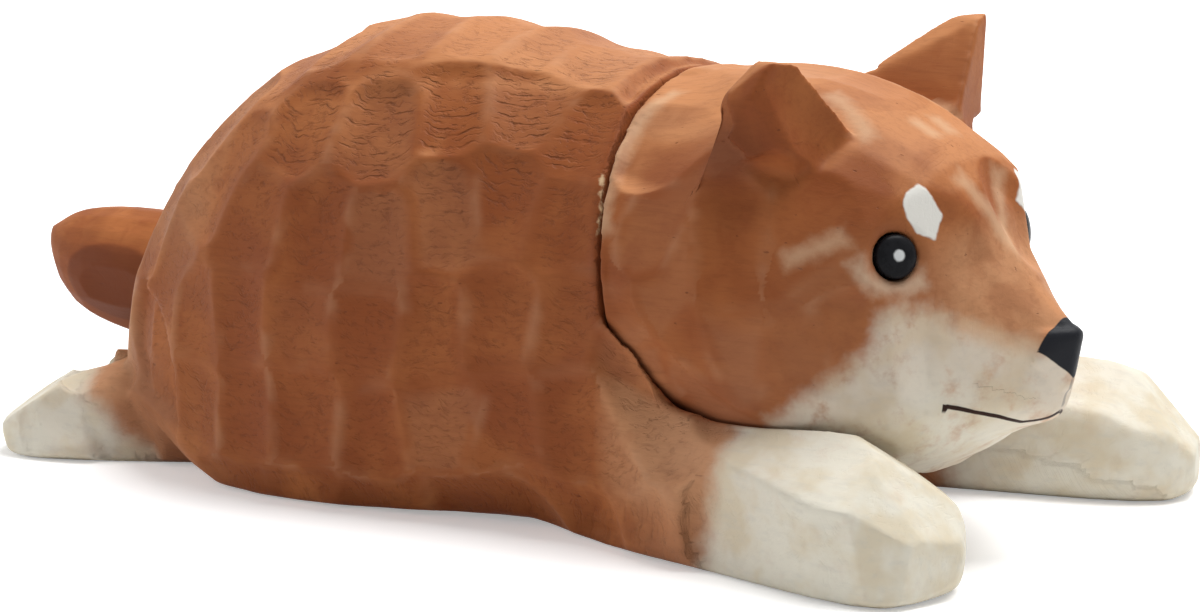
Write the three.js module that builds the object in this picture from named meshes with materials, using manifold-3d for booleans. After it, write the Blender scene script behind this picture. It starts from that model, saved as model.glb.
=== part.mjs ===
// Carved wooden dog lying on its belly, forelegs stretched out in front.
// Millimetres, +Z up, +X towards the nose, +Y the dog's left. The figure stands on Z = 0.
import * as THREE from 'three';
import { ConvexGeometry } from 'three/addons/geometries/ConvexGeometry.js';
import { mergeVertices } from 'three/addons/utils/BufferGeometryUtils.js';
import Module from 'manifold-3d';

const wasm = await Module();
wasm.setup();

// Torso: from the neck joint back to the end of the rump.
const TORSO_LENGTH = 65;
const TORSO_WIDTH = 48.9;
const TORSO_HEIGHT = 46.3;
const TORSO_WIDEST_HEIGHT = 13;

// Neck joint: a flat leaning seam that the head is glued and dowelled to. The shoulders slope
// forward below it.
const NECK_X = 12.3;
const NECK_HEIGHT = 24.5;
const NECK_LEAN = THREE.MathUtils.degToRad(8);
const SHOULDER_SLOPE = THREE.MathUtils.degToRad(34);
const GLUE_GAP = 0.3;

// Head, measured from the neck joint to the front of the nose.
const HEAD_REACH = 39.7;
const HEAD_WIDTH = 42.6;
const HEAD_HEIGHT = 42.8;
const HEAD_TURN = THREE.MathUtils.degToRad(-6);

// Ears, thick wedges that are carved from the head block. The left one stands taller.
const EAR_FRONT = 20.4;
const EAR_DEPTH = 12;
const EAR_INNER = 8.3;
const EAR_WIDTH = 10;
const EAR_BASE = 34.5;
const EAR_HEIGHT = 10.6;
const LEFT_EAR_RISE = 2.2;
const LEFT_EAR_LEAN = 0.9;

// Nose pad, a faceted wedge on the muzzle tip.
const NOSE_WIDTH = 6.8;
const NOSE_HEIGHT = 5.2;
const NOSE_LENGTH = 4.5;
const NOSE_STANDOUT = 1.8;
const NOSE_OVERHANG = 1.4;
const NOSE_TOP = 21.3;

// Face: the skull is blunt at the brows, and the muzzle stands out from it.
const BROW_REACH = 32.8;
const MUZZLE_ROOT = 26;
const MUZZLE_WIDTH = 19;

// Eyes, domed beads set into drilled sockets.
const EYE_DIAMETER = 3.9;
const EYE_SOCKET_DEPTH = 2.2;
const EYE_DOME = 0.7;
const EYE_CLEARANCE = 0.2;
const EYE_X = 27.5;
const EYE_SPREAD = 10.9;
const EYE_HEIGHT = 28.1;
const EYE_TURN = THREE.MathUtils.degToRad(32);
const EYE_TILT = THREE.MathUtils.degToRad(9);

// Forelegs, one with the torso, and their paws. The left one is set wider and reaches further.
const FORELEG_REACH = 36.2;
const FORELEG_SPACING = 28;
const FORELEG_WIDTH = 15.3;
const FORELEG_HEIGHT = 14.5;
const FORELEG_SPLAY = THREE.MathUtils.degToRad(13);
const FORELEG_ROOT = 12;
const LEFT_FORELEG_SHIFT = 5;
const LEFT_FORELEG_STRETCH = 4.2;

// Hind legs, stretched out behind, one with the torso.
const HINDLEG_REACH = 10;
const HINDLEG_SPACING = 28;
const HINDLEG_WIDTH = 13.1;
const HINDLEG_HEIGHT = 11;
const HINDLEG_SPLAY = THREE.MathUtils.degToRad(25);
const HINDLEG_ROOT = 18;

// Tail, a separate leaf-shaped block that sits in a shallow seat in the rump.
const TAIL_REACH = 20.5;
const TAIL_WIDTH = 12;
const TAIL_HEIGHT = 13;
const TAIL_BASE_HEIGHT = 16.5;
const TAIL_RISE = 1.5;
const TAIL_SEAT_DEPTH = 3.2;
const TAIL_DOWEL_DROP = 1;

// Dowels that hold the head and the tail.
const NECK_DOWEL_DIAMETER = 8;
const NECK_DOWEL_LENGTH = 24;
const TAIL_DOWEL_DIAMETER = 4;
const TAIL_DOWEL_LENGTH = 14;
const DOWEL_CLEARANCE = 0.3;
const DOWEL_END_ROOM = 1;

// Tool marks: hollow gouge cuts on the torso and the legs, flats on the skull. A row lists its cuts
// as shares of the form's length and degrees up from its side. The left side's are staggered.
const TORSO_GOUGE = 15;
const TORSO_BITE = 0.75;
const LEG_GOUGE = 28;
const LEG_BITE = 0.8;
const SKULL_BITE = 0.3;
const LEFT_STAGGER = 0.02;
const CREST_CUTS = [[0.363, 72], [0.447, 77], [0.549, 79], [0.657, 81], [0.765, 81], [0.865, 81], [0.957, 82]];
const SHOULDER_BLADE_CUTS = [[0.462, 51], [0.598, 51], [0.714, 58], [0.82, 62], [0.912, 57]];
const FLANK_CUTS = [[0.4, 33], [0.525, 31], [0.637, 30], [0.746, 38], [0.838, 42], [0.921, 41]];
const SIDE_CUTS = [[0.298, 9], [0.4, 11], [0.512, 9], [0.62, 10], [0.731, 12], [0.848, 17], [0.955, 19]];
const BELLY_CUTS = [[0.303, -12], [0.414, -11], [0.525, -11], [0.638, -11], [0.749, -10], [0.866, -7], [0.974, -5]];
const UNDER_CUTS = [[0.365, -25], [0.503, -25], [0.649, -25], [0.795, -26]];
const RUMP_CUTS = [[0.308, 45], [0.22, 22], [0.2, 4], [0.19, -12], [0.245, 61], [0.15, 40], [0.11, 8],
  [0.1, -14], [0.145, 74], [0.06, 46], [0.04, 14]];
const RUMP_MIDDLE_CUTS = [[0.275, 90], [0.17, 90], [0.08, 90]];
const FORELEG_CUTS = [[0.68, 60], [0.82, 55], [0.94, 52], [0.72, 4], [0.86, -3], [0.95, 0], [0.7, 118],
  [0.86, 122], [0.95, 90]];
const HINDLEG_CUTS = [[0.72, 62], [0.9, 50], [0.74, 8], [0.92, 5], [0.8, 125]];
const SKULL_CUTS = [[0.12, 65], [0.075, 46], [0.07, 29], [0.08, 14], [0.128, 0], [0.22, -9], [0.36, -17],
  [0.26, 48], [0.28, 28], [0.3, 10], [0.384, -5], [0.476, 22], [0.488, 3], [0.6, -9], [0.655, 36], [0.685, 16],
  [0.744, 1], [0.7, -20]];

// How finely the carved forms are cut into faces.
const RING_POINTS = 30;
const LEG_RING_POINTS = 18;
const LOFT_STEPS = 22;
const LEG_STEPS = 14;
const ROUND_SIDES = 24;
const DOME_STEPS = 5;

// Deep enough to cut right through the figure.
const THROUGH = TORSO_LENGTH + HEAD_REACH + TORSO_WIDTH;

const WOOD_BROWN = new THREE.MeshStandardMaterial({ color: 0x9a5c3c, roughness: 0.6, metalness: 0 });
const HEAD_BROWN = new THREE.MeshStandardMaterial({ color: 0xa86a45, roughness: 0.6, metalness: 0 });
const TAIL_BROWN = new THREE.MeshStandardMaterial({ color: 0x8f5438, roughness: 0.6, metalness: 0 });
const BARE_WOOD = new THREE.MeshStandardMaterial({ color: 0xd9bf94, roughness: 0.7, metalness: 0 });
const EYE_BLACK = new THREE.MeshStandardMaterial({ color: 0x15151a, roughness: 0.15, metalness: 0 });

// Solids: a closed geometry becomes a manifold, and back.
function toSolid(geometry) {
  geometry.deleteAttribute('normal');
  geometry.deleteAttribute('uv');
  const merged = mergeVertices(geometry, 1e-4);
  const mesh = new wasm.Mesh({
    numProp: 3,
    vertProperties: new Float32Array(merged.attributes.position.array),
    triVerts: new Uint32Array(merged.index.array),
  });
  return new wasm.Manifold(mesh);
}

function toGeometry(solid) {
  const mesh = solid.getMesh();
  const geometry = new THREE.BufferGeometry();
  geometry.setAttribute('position', new THREE.BufferAttribute(mesh.vertProperties, 3));
  geometry.setIndex(new THREE.BufferAttribute(mesh.triVerts, 1));
  geometry.computeVertexNormals();
  return geometry;
}

// A closed loft through rings of equal point counts, with a fan at each end.
function loft(rings) {
  const count = rings[0].length;
  const points = rings.flat();
  const centre = (ring) => ring.reduce((sum, p) => sum.add(p), new THREE.Vector3()).divideScalar(count);
  const first = points.push(centre(rings[0])) - 1;
  const last = points.push(centre(rings[rings.length - 1])) - 1;
  const faces = [];
  for (let i = 0; i < rings.length - 1; i += 1) {
    for (let j = 0; j < count; j += 1) {
      const a = i * count + j;
      const b = i * count + ((j + 1) % count);
      faces.push(a, b, b + count, a, b + count, a + count);
    }
  }
  const end = (rings.length - 1) * count;
  for (let j = 0; j < count; j += 1) {
    const next = (j + 1) % count;
    faces.push(first, next, j);
    faces.push(last, end + j, end + next);
  }
  const geometry = new THREE.BufferGeometry();
  geometry.setAttribute('position', new THREE.Float32BufferAttribute(points.flatMap((p) => p.toArray()), 3));
  geometry.setIndex(faces);
  return geometry;
}

// A smooth curve through [position, value] pairs, read at any position.
function profile(pairs) {
  const curve = new THREE.SplineCurve(pairs.map(([at, value]) => new THREE.Vector2(at, value)));
  const samples = curve.getPoints(pairs.length * 16);
  return (at) => {
    const i = samples.findIndex((p) => p.x >= at);
    if (i <= 0) {
      return i === 0 ? samples[0].y : samples[samples.length - 1].y;
    }
    const a = samples[i - 1];
    const b = samples[i];
    return THREE.MathUtils.mapLinear(at, a.x, b.x, a.y, b.y);
  };
}

// A cross-section in the YZ plane: round above its widest height, squarer below it.
function sectionRing(section, count) {
  const ring = [];
  for (let j = 0; j < count; j += 1) {
    const angle = (j / count) * Math.PI * 2;
    const side = Math.cos(angle);
    const up = Math.sin(angle);
    const power = 2 / (up >= 0 ? section.upperPower : section.lowerPower);
    const reach = up >= 0 ? section.top - section.widest : section.widest - section.bottom;
    const y = Math.sign(side) * Math.abs(side) ** power * section.halfWidth;
    const z = section.widest + Math.sign(up) * Math.abs(up) ** power * reach;
    ring.push(new THREE.Vector3(section.x, y, z));
  }
  return ring;
}

// The point of a section's outline at an angle up from its left side, about its widest height.
function outlinePoint(section, angle) {
  const side = Math.cos(angle);
  const up = Math.sin(angle);
  const power = up >= 0 ? section.upperPower : section.lowerPower;
  const reach = up >= 0 ? section.top - section.widest : section.widest - section.bottom;
  const total = Math.abs(side / section.halfWidth) ** power + Math.abs(up / reach) ** power;
  const size = total ** (-1 / power);
  return new THREE.Vector3(section.x, side * size, section.widest + up * size);
}

// The same cuts on the left side, a little further along.
function staggered(cuts) {
  return cuts.map(([share, degrees]) => [share + LEFT_STAGGER, degrees]);
}

// Cuts for the right side, which lies opposite the angle's start.
function opposite(cuts) {
  return cuts.map(([share, degrees]) => [share, 180 - degrees]);
}

// Where a cut meets a lofted form: the point, the way in, and the way around the form.
function cutFrame(sectionAt, share, degrees) {
  const step = 0.01;
  const angle = THREE.MathUtils.degToRad(degrees);
  const at = (alongSteps, aroundSteps) => outlinePoint(
    sectionAt(share + alongSteps * step),
    angle + aroundSteps * step,
  );
  const along = at(1, 0).sub(at(-1, 0));
  const around = at(0, 1).sub(at(0, -1)).normalize();
  return { point: at(0, 0), inward: along.cross(around).normalize(), around };
}

// Takes a flat off a lofted form at each cut.
function pared(solid, sectionAt, cuts, bite) {
  return cuts.reduce((form, [share, degrees]) => {
    const { point, inward } = cutFrame(sectionAt, share, degrees);
    return form.trimByPlane(inward.toArray(), point.dot(inward) + bite);
  }, solid);
}

// Takes a hollow out of a lofted form at each cut, where the gouge ran around it.
function gouged(solid, sectionAt, cuts, sweep, bite) {
  const tools = cuts.map(([share, degrees]) => {
    const { point, inward, around } = cutFrame(sectionAt, share, degrees);
    return rod(sweep * 2, sweep * 2, point.addScaledVector(inward, bite - sweep), around);
  });
  return solid.subtract(wasm.Manifold.union(tools));
}

// Steps from 0 to 1 that crowd towards both ends, where a carved form rounds off.
function easedSteps(count) {
  return Array.from({ length: count + 1 }, (_, i) => (1 - Math.cos((i / count) * Math.PI)) / 2);
}

// A block that fills everything on one side of a plane through a point.
function halfSpace(point, normal) {
  const block = new THREE.BoxGeometry(THROUGH, THROUGH, THROUGH);
  block.translate(0, 0, THROUGH / 2);
  block.applyQuaternion(new THREE.Quaternion().setFromUnitVectors(new THREE.Vector3(0, 0, 1), normal));
  block.translate(point.x, point.y, point.z);
  return toSolid(block);
}

// A round rod along a direction, centred on a point.
function rod(diameter, length, point, direction) {
  const cylinder = new THREE.CylinderGeometry(diameter / 2, diameter / 2, length, ROUND_SIDES);
  cylinder.applyQuaternion(new THREE.Quaternion().setFromUnitVectors(new THREE.Vector3(0, 1, 0), direction));
  cylinder.translate(point.x, point.y, point.z);
  return toSolid(cylinder);
}

// The neck seam and the direction that the head leaves it in.
const neckPoint = new THREE.Vector3(NECK_X, 0, NECK_HEIGHT);
const neckNormal = new THREE.Vector3(Math.cos(NECK_LEAN), 0, Math.sin(NECK_LEAN));
const rumpX = NECK_X - TORSO_LENGTH;
const ground = halfSpace(new THREE.Vector3(0, 0, 0), new THREE.Vector3(0, 0, -1));

// Torso: shares of its length from the rump (0) to the neck (1), and past it to the chest.
function makeTorso() {
  const width = profile([[0, 0.3], [0.03, 0.48], [0.1, 0.69], [0.2, 0.86], [0.34, 0.97], [0.5, 1],
    [0.66, 0.97], [0.8, 0.925], [0.92, 0.915], [1, 0.9], [1.12, 0.86]]);
  const top = profile([[0, 0.42], [0.03, 0.55], [0.1, 0.675], [0.2, 0.805], [0.3, 0.895], [0.4, 0.962],
    [0.5, 0.992], [0.62, 0.992], [0.72, 0.978], [0.82, 0.952], [0.92, 0.935], [1, 0.925], [1.12, 0.91]]);
  const bottom = profile([[0, 0.16], [0.03, 0.1], [0.1, 0.045], [0.2, 0.008], [0.34, -0.03],
    [0.55, -0.03], [0.72, -0.02], [0.9, -0.02], [1.12, -0.03]]);
  const lowerPower = profile([[0, 2.2], [0.2, 3.4], [0.36, 5.6], [0.55, 5.2], [0.74, 3.8], [0.9, 3.2],
    [1.12, 3]]);
  const upperPower = profile([[0, 1.8], [0.15, 1.9], [0.35, 2.15], [0.55, 2.3], [1.12, 2.3]]);
  const chest = 1.12;
  const sectionAt = (share) => ({
    x: rumpX + share * TORSO_LENGTH,
    halfWidth: (width(share) * TORSO_WIDTH) / 2,
    top: top(share) * TORSO_HEIGHT,
    bottom: bottom(share) * TORSO_HEIGHT,
    widest: TORSO_WIDEST_HEIGHT,
    upperPower: upperPower(share),
    lowerPower: lowerPower(share),
  });
  const rings = easedSteps(LOFT_STEPS).map((step) => sectionRing(sectionAt(step * chest), RING_POINTS));
  const rows = [CREST_CUTS, SHOULDER_BLADE_CUTS, FLANK_CUTS, SIDE_CUTS, BELLY_CUTS, UNDER_CUTS, RUMP_CUTS].flat();
  const cuts = [...opposite(rows), ...staggered(rows), ...RUMP_MIDDLE_CUTS];
  return gouged(toSolid(loft(rings)), sectionAt, cuts, TORSO_GOUGE, TORSO_BITE);
}

// A leg lies along +X from its root, with a rounded paw at the end.
function makeLeg(leg) {
  const sectionAt = (share) => ({
    x: -leg.root + share * (leg.root + leg.reach),
    halfWidth: (leg.width(share) * leg.widthAcross) / 2,
    top: leg.top(share) * leg.height,
    bottom: leg.bottom(share) * leg.height,
    widest: leg.widest(share) * leg.height,
    upperPower: 2.3,
    lowerPower: 2.8,
  });
  const rings = easedSteps(LEG_STEPS).map((share) => sectionRing(sectionAt(share), LEG_RING_POINTS));
  return toGeometry(gouged(toSolid(loft(rings)), sectionAt, leg.cuts, LEG_GOUGE, LEG_BITE));
}

function makeForeleg(side) {
  const leg = makeLeg({
    root: FORELEG_ROOT,
    reach: FORELEG_REACH + (side > 0 ? LEFT_FORELEG_STRETCH : 0),
    widthAcross: FORELEG_WIDTH,
    height: FORELEG_HEIGHT,
    width: profile([[0, 0.5], [0.14, 0.78], [0.3, 1], [0.5, 1], [0.75, 1.02], [0.87, 0.98], [0.95, 0.76],
      [1, 0.3]]),
    top: profile([[0, 1.6], [0.14, 1.55], [0.26, 1.3], [0.4, 1.02], [0.55, 0.93], [0.7, 0.9], [0.8, 0.87],
      [0.89, 0.77], [0.96, 0.58], [1, 0.33]]),
    bottom: profile([[0, -0.1], [0.88, -0.1], [0.96, 0.02], [1, 0.17]]),
    widest: profile([[0, 0.4], [0.6, 0.34], [0.9, 0.3], [1, 0.27]]),
    cuts: side > 0 ? FORELEG_CUTS : opposite(FORELEG_CUTS),
  });
  const shift = side > 0 ? LEFT_FORELEG_SHIFT : 0;
  leg.rotateZ(side * FORELEG_SPLAY);
  leg.translate(NECK_X, side * (FORELEG_SPACING / 2 + shift), 0);
  return toSolid(leg);
}

function makeHindleg(side) {
  const leg = makeLeg({
    root: HINDLEG_ROOT,
    reach: HINDLEG_REACH,
    widthAcross: HINDLEG_WIDTH,
    height: HINDLEG_HEIGHT,
    width: profile([[0, 0.9], [0.4, 1], [0.7, 1], [0.88, 0.88], [0.96, 0.64], [1, 0.28]]),
    top: profile([[0, 1.1], [0.4, 1.05], [0.6, 0.95], [0.8, 0.8], [0.92, 0.6], [1, 0.38]]),
    bottom: profile([[0, -0.12], [0.88, -0.12], [0.96, 0.02], [1, 0.12]]),
    widest: profile([[0, 0.35], [0.8, 0.3], [1, 0.25]]),
    cuts: side > 0 ? opposite(HINDLEG_CUTS) : HINDLEG_CUTS,
  });
  leg.rotateZ(Math.PI - side * HINDLEG_SPLAY);
  leg.translate(rumpX, (side * HINDLEG_SPACING) / 2, 0);
  return toSolid(leg);
}

// Skull: shares of the brows' reach from behind the neck joint (below 0) to its blunt front (1).
function makeSkull(room = 0) {
  const start = -0.14;
  const width = profile([[start, 0.95], [0, 0.98], [0.25, 1], [0.4, 0.98], [0.5, 0.94], [0.6, 0.88],
    [0.7, 0.79], [0.82, 0.66], [0.89, 0.575], [0.95, 0.46], [1, 0.27]]);
  const top = profile([[start, 0.975], [0, 0.985], [0.25, 1], [0.42, 0.992], [0.55, 0.967], [0.65, 0.932],
    [0.74, 0.89], [0.83, 0.85], [0.89, 0.807], [0.95, 0.735], [1, 0.63]]);
  const bottom = profile([[start, 0.17], [0, 0.15], [0.25, 0.117], [0.47, 0.11], [0.65, 0.135], [0.77, 0.17],
    [0.87, 0.205], [0.95, 0.245], [1, 0.3]]);
  const widest = profile([[start, 0.58], [0.3, 0.5], [0.6, 0.44], [0.8, 0.41], [1, 0.41]]);
  const upperPower = profile([[start, 2.05], [0.5, 2.05], [0.75, 2.5], [0.88, 2.8], [1, 2.8]]);
  const lowerPower = profile([[start, 1.5], [0, 1.6], [0.3, 1.8], [0.6, 2.1], [1, 2.2]]);
  const sectionAt = (share) => ({
    x: share * BROW_REACH,
    halfWidth: (width(share) * HEAD_WIDTH) / 2 + room,
    top: top(share) * HEAD_HEIGHT + room,
    bottom: bottom(share) * HEAD_HEIGHT - room,
    widest: widest(share) * HEAD_HEIGHT,
    upperPower: upperPower(share),
    lowerPower: lowerPower(share),
  });
  const shares = easedSteps(LOFT_STEPS).map((step) => THREE.MathUtils.lerp(start, 1, step));
  const rings = shares.map((share) => sectionRing(sectionAt(share), RING_POINTS));
  const cuts = [...opposite(SKULL_CUTS), ...staggered(SKULL_CUTS)];
  return pared(toSolid(loft(rings)), sectionAt, cuts, SKULL_BITE);
}

// Muzzle: from inside the skull (0) to the tip under the nose (1).
function makeMuzzle() {
  const width = profile([[0, 1.2], [0.3, 1.08], [0.5, 0.88], [0.7, 0.62], [0.85, 0.39], [0.94, 0.24],
    [1, 0.1]]);
  const top = profile([[0, 0.82], [0.4, 0.71], [0.62, 0.622], [0.735, 0.573], [0.875, 0.53], [1, 0.497]]);
  const bottom = profile([[0, 0.165], [0.34, 0.232], [0.72, 0.288], [0.93, 0.31], [1, 0.335]]);
  const rings = easedSteps(LEG_STEPS).map((share) => {
    const ring = sectionRing({
      x: THREE.MathUtils.lerp(MUZZLE_ROOT, HEAD_REACH - NOSE_STANDOUT, share),
      halfWidth: (width(share) * MUZZLE_WIDTH) / 2,
      top: top(share) * HEAD_HEIGHT,
      bottom: bottom(share) * HEAD_HEIGHT,
      widest: ((top(share) + bottom(share) * 2) / 3) * HEAD_HEIGHT,
      upperPower: 1.8,
      lowerPower: 2.3,
    }, LEG_RING_POINTS);
    const rise = (z) => (z / HEAD_HEIGHT - bottom(share)) / (top(share) - bottom(share));
    return ring.map((p) => p.setX(p.x + share ** 2 * NOSE_OVERHANG * rise(p.z)));
  });
  return toSolid(loft(rings));
}

// An ear is the hull of its corners: shares of its depth from the front, its width from the
// inner side and its height from the base.
function makeEar(side) {
  const height = EAR_HEIGHT + (side > 0 ? LEFT_EAR_RISE : 0);
  const lean = side > 0 ? LEFT_EAR_LEAN : 0;
  const shares = [[-0.09, 0, 0.32], [0, 0.62, -0.13], [0.92, 1.09, -0.33], [1, 0.05, 0.46], [0.155, 0.89, 1],
    [0.09, 0.62, 0.96], [0.25, 1.03, 0.71], [0.37, 0.74, 0.99], [0.6, 1.04, 0.6]];
  return toSolid(new ConvexGeometry(shares.map(([deep, across, high]) => new THREE.Vector3(
    EAR_FRONT - deep * EAR_DEPTH + high * lean,
    side * (EAR_INNER + across * EAR_WIDTH),
    EAR_BASE + high * height,
  ))));
}

// The nose pad: a wedge with a ridge down its middle that leans back to its lower point.
// The corners are shares of its length from the front, its half width and its height from the top.
function makeNose() {
  const shares = [[0, 0.1, 0], [0.34, 0.62, 0], [0.53, 1, 0.48], [0.22, 0.08, 1], [1, 0.9, 0.05],
    [1, 0.9, 0.5], [1, 0.1, 1]];
  const points = shares.flatMap(([deep, across, low]) => [-1, 1].map((side) => new THREE.Vector3(
    HEAD_REACH - deep * NOSE_LENGTH,
    (side * across * NOSE_WIDTH) / 2,
    NOSE_TOP - low * NOSE_HEIGHT,
  )));
  return toSolid(new ConvexGeometry(points));
}

// The direction that an eye looks in, in the head's own frame.
function eyeDirection(side) {
  const flat = Math.cos(EYE_TILT);
  return new THREE.Vector3(
    flat * Math.cos(EYE_TURN),
    side * flat * Math.sin(EYE_TURN),
    Math.sin(EYE_TILT),
  );
}

function eyePoint(side) {
  return new THREE.Vector3(EYE_X, side * EYE_SPREAD, EYE_HEIGHT);
}

// The socket runs from its floor out past the face.
function eyeSocket(side) {
  const direction = eyeDirection(side);
  const inward = EYE_SOCKET_DEPTH + EYE_CLEARANCE;
  const outward = EYE_DIAMETER;
  const middle = eyePoint(side).addScaledVector(direction, (outward - inward) / 2);
  return rod(EYE_DIAMETER + 2 * EYE_CLEARANCE, inward + outward, middle, direction);
}

// A bead: a short cylinder with a domed front, turned on its own axis.
function makeEye(side) {
  const radius = EYE_DIAMETER / 2;
  const outline = [new THREE.Vector2(0, 0), new THREE.Vector2(radius, 0)];
  for (let i = 0; i < DOME_STEPS; i += 1) {
    const angle = (i / DOME_STEPS) * (Math.PI / 2);
    outline.push(new THREE.Vector2(radius * Math.cos(angle), EYE_SOCKET_DEPTH + EYE_DOME * Math.sin(angle)));
  }
  outline.push(new THREE.Vector2(0, EYE_SOCKET_DEPTH + EYE_DOME));
  const bead = new THREE.LatheGeometry(outline, ROUND_SIDES);
  const lengthwise = new THREE.Vector3(0, 1, 0);
  bead.applyQuaternion(new THREE.Quaternion().setFromUnitVectors(lengthwise, eyeDirection(side)));
  const floor = eyePoint(side).addScaledVector(eyeDirection(side), -EYE_SOCKET_DEPTH);
  bead.translate(floor.x, floor.y, floor.z);
  return toSolid(bead);
}

// Tail: a leaf with a ridge along its top, from the seat back to its tip.
function makeTail(front, room = 0) {
  const width = profile([[0, 0.9], [0.3, 1], [0.6, 0.94], [0.82, 0.74], [0.95, 0.46], [1, 0.25]]);
  const top = profile([[0, 0.5], [0.5, 0.45], [0.75, 0.39], [0.9, 0.31], [1, 0.19]]);
  const bottom = profile([[0, -0.54], [0.3, -0.57], [0.55, -0.54], [0.75, -0.48], [0.89, -0.35],
    [0.96, -0.15], [1, 0.08]]);
  const rings = easedSteps(LEG_STEPS).map((share) => {
    const middle = TAIL_BASE_HEIGHT + share * TAIL_RISE;
    return sectionRing({
      x: front - share * TAIL_REACH,
      halfWidth: (width(share) * TAIL_WIDTH) / 2 + room,
      top: middle + top(share) * TAIL_HEIGHT + room,
      bottom: middle + bottom(share) * TAIL_HEIGHT - room,
      widest: middle + ((top(share) + bottom(share)) / 2 + 0.1) * TAIL_HEIGHT,
      upperPower: 1.7,
      lowerPower: 1.8,
    }, LEG_RING_POINTS).reverse();
  });
  return toSolid(loft(rings));
}

// Body block: torso and legs in one, cut off at the neck, the ground and the tail's seat.
const seatX = rumpX + TAIL_SEAT_DEPTH;
const rearward = new THREE.Vector3(-1, 0, 0);
const tailDowelPoint = new THREE.Vector3(seatX, 0, TAIL_BASE_HEIGHT - TAIL_DOWEL_DROP);

function dowelHole(diameter, length, point, direction) {
  return rod(diameter + 2 * DOWEL_CLEARANCE, length + 2 * DOWEL_END_ROOM, point, direction);
}

const neckHole = dowelHole(NECK_DOWEL_DIAMETER, NECK_DOWEL_LENGTH, neckPoint, neckNormal);
const tailHole = dowelHole(TAIL_DOWEL_DIAMETER, TAIL_DOWEL_LENGTH, tailDowelPoint, rearward);

// The head turns about the neck joint, and keeps its height above the ground.
function placeHead(solidGeometry) {
  const turned = solidGeometry.clone();
  turned.rotateZ(HEAD_TURN);
  turned.translate(NECK_X, 0, 0);
  return turned;
}

const eyeFlats = [-1, 1].map((side) => halfSpace(eyePoint(side), eyeDirection(side)));
const headForm = eyeFlats.reduce((skull, flat) => skull.subtract(flat), makeSkull())
  .add(makeMuzzle())
  .add(makeNose())
  .add(makeEar(1))
  .add(makeEar(-1))
  .subtract(eyeSocket(1))
  .subtract(eyeSocket(-1));
const headGap = neckPoint.clone().addScaledVector(neckNormal, GLUE_GAP);
const headSolid = toSolid(placeHead(toGeometry(headForm)))
  .intersect(halfSpace(headGap, neckNormal))
  .subtract(neckHole);

const behindNeck = halfSpace(neckPoint, neckNormal.clone().negate());
const shoulderNormal = new THREE.Vector3(-Math.cos(SHOULDER_SLOPE), 0, -Math.sin(SHOULDER_SLOPE));
const belowShoulder = halfSpace(neckPoint, shoulderNormal);
const torso = makeTorso().intersect(behindNeck.add(belowShoulder));
const legs = [-1, 1].flatMap((side) => [makeForeleg(side), makeHindleg(side)]);
const headRoom = toSolid(placeHead(toGeometry(makeSkull(GLUE_GAP))))
  .intersect(halfSpace(neckPoint, neckNormal));
const body = legs.reduce((sum, leg) => sum.add(leg), torso)
  .subtract(headRoom)
  .subtract(ground)
  .subtract(makeTail(seatX, GLUE_GAP))
  .subtract(neckHole)
  .subtract(tailHole);

const tail = makeTail(seatX - GLUE_GAP).subtract(tailHole);
const neckDowel = rod(NECK_DOWEL_DIAMETER, NECK_DOWEL_LENGTH, neckPoint, neckNormal);
const tailDowel = rod(TAIL_DOWEL_DIAMETER, TAIL_DOWEL_LENGTH, tailDowelPoint, rearward);

function named(name, geometry, material) {
  const mesh = new THREE.Mesh(geometry, material);
  mesh.name = name;
  return mesh;
}

const figure = new THREE.Group();
figure.add(named('body_block', toGeometry(body), WOOD_BROWN));
figure.add(named('head_block', toGeometry(headSolid), HEAD_BROWN));
figure.add(named('tail_block', toGeometry(tail), TAIL_BROWN));
figure.add(named('neck_dowel', toGeometry(neckDowel), BARE_WOOD));
figure.add(named('tail_dowel', toGeometry(tailDowel), BARE_WOOD));
figure.add(named('eye_right', placeHead(toGeometry(makeEye(-1))), EYE_BLACK));
figure.add(named('eye_left', placeHead(toGeometry(makeEye(1))), EYE_BLACK));

// The origin is the middle of the footprint, on the surface that the figure lies on.
const box = new THREE.Box3().setFromObject(figure);
const middle = box.getCenter(new THREE.Vector3());
figure.position.set(-middle.x, -middle.y, -box.min.z);

export default figure;
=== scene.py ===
"""A small carved and painted wooden dog, lying down, with its studio set.

The blocks are cut out of the CAD solids with rows of gouge strokes, stained brown, and painted
by hand: white paws and muzzle, brow spots, black nose, a fine mouth line and two black bead eyes.
Sizes are in millimetres in the carving frame, unless something else is said.
"""
import logging
import math
from dataclasses import dataclass, field
from enum import Enum
from typing import ClassVar, Union

import bmesh
import bpy
import numpy as np
from mathutils import Matrix, Vector
from mathutils.bvhtree import BVHTree


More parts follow.
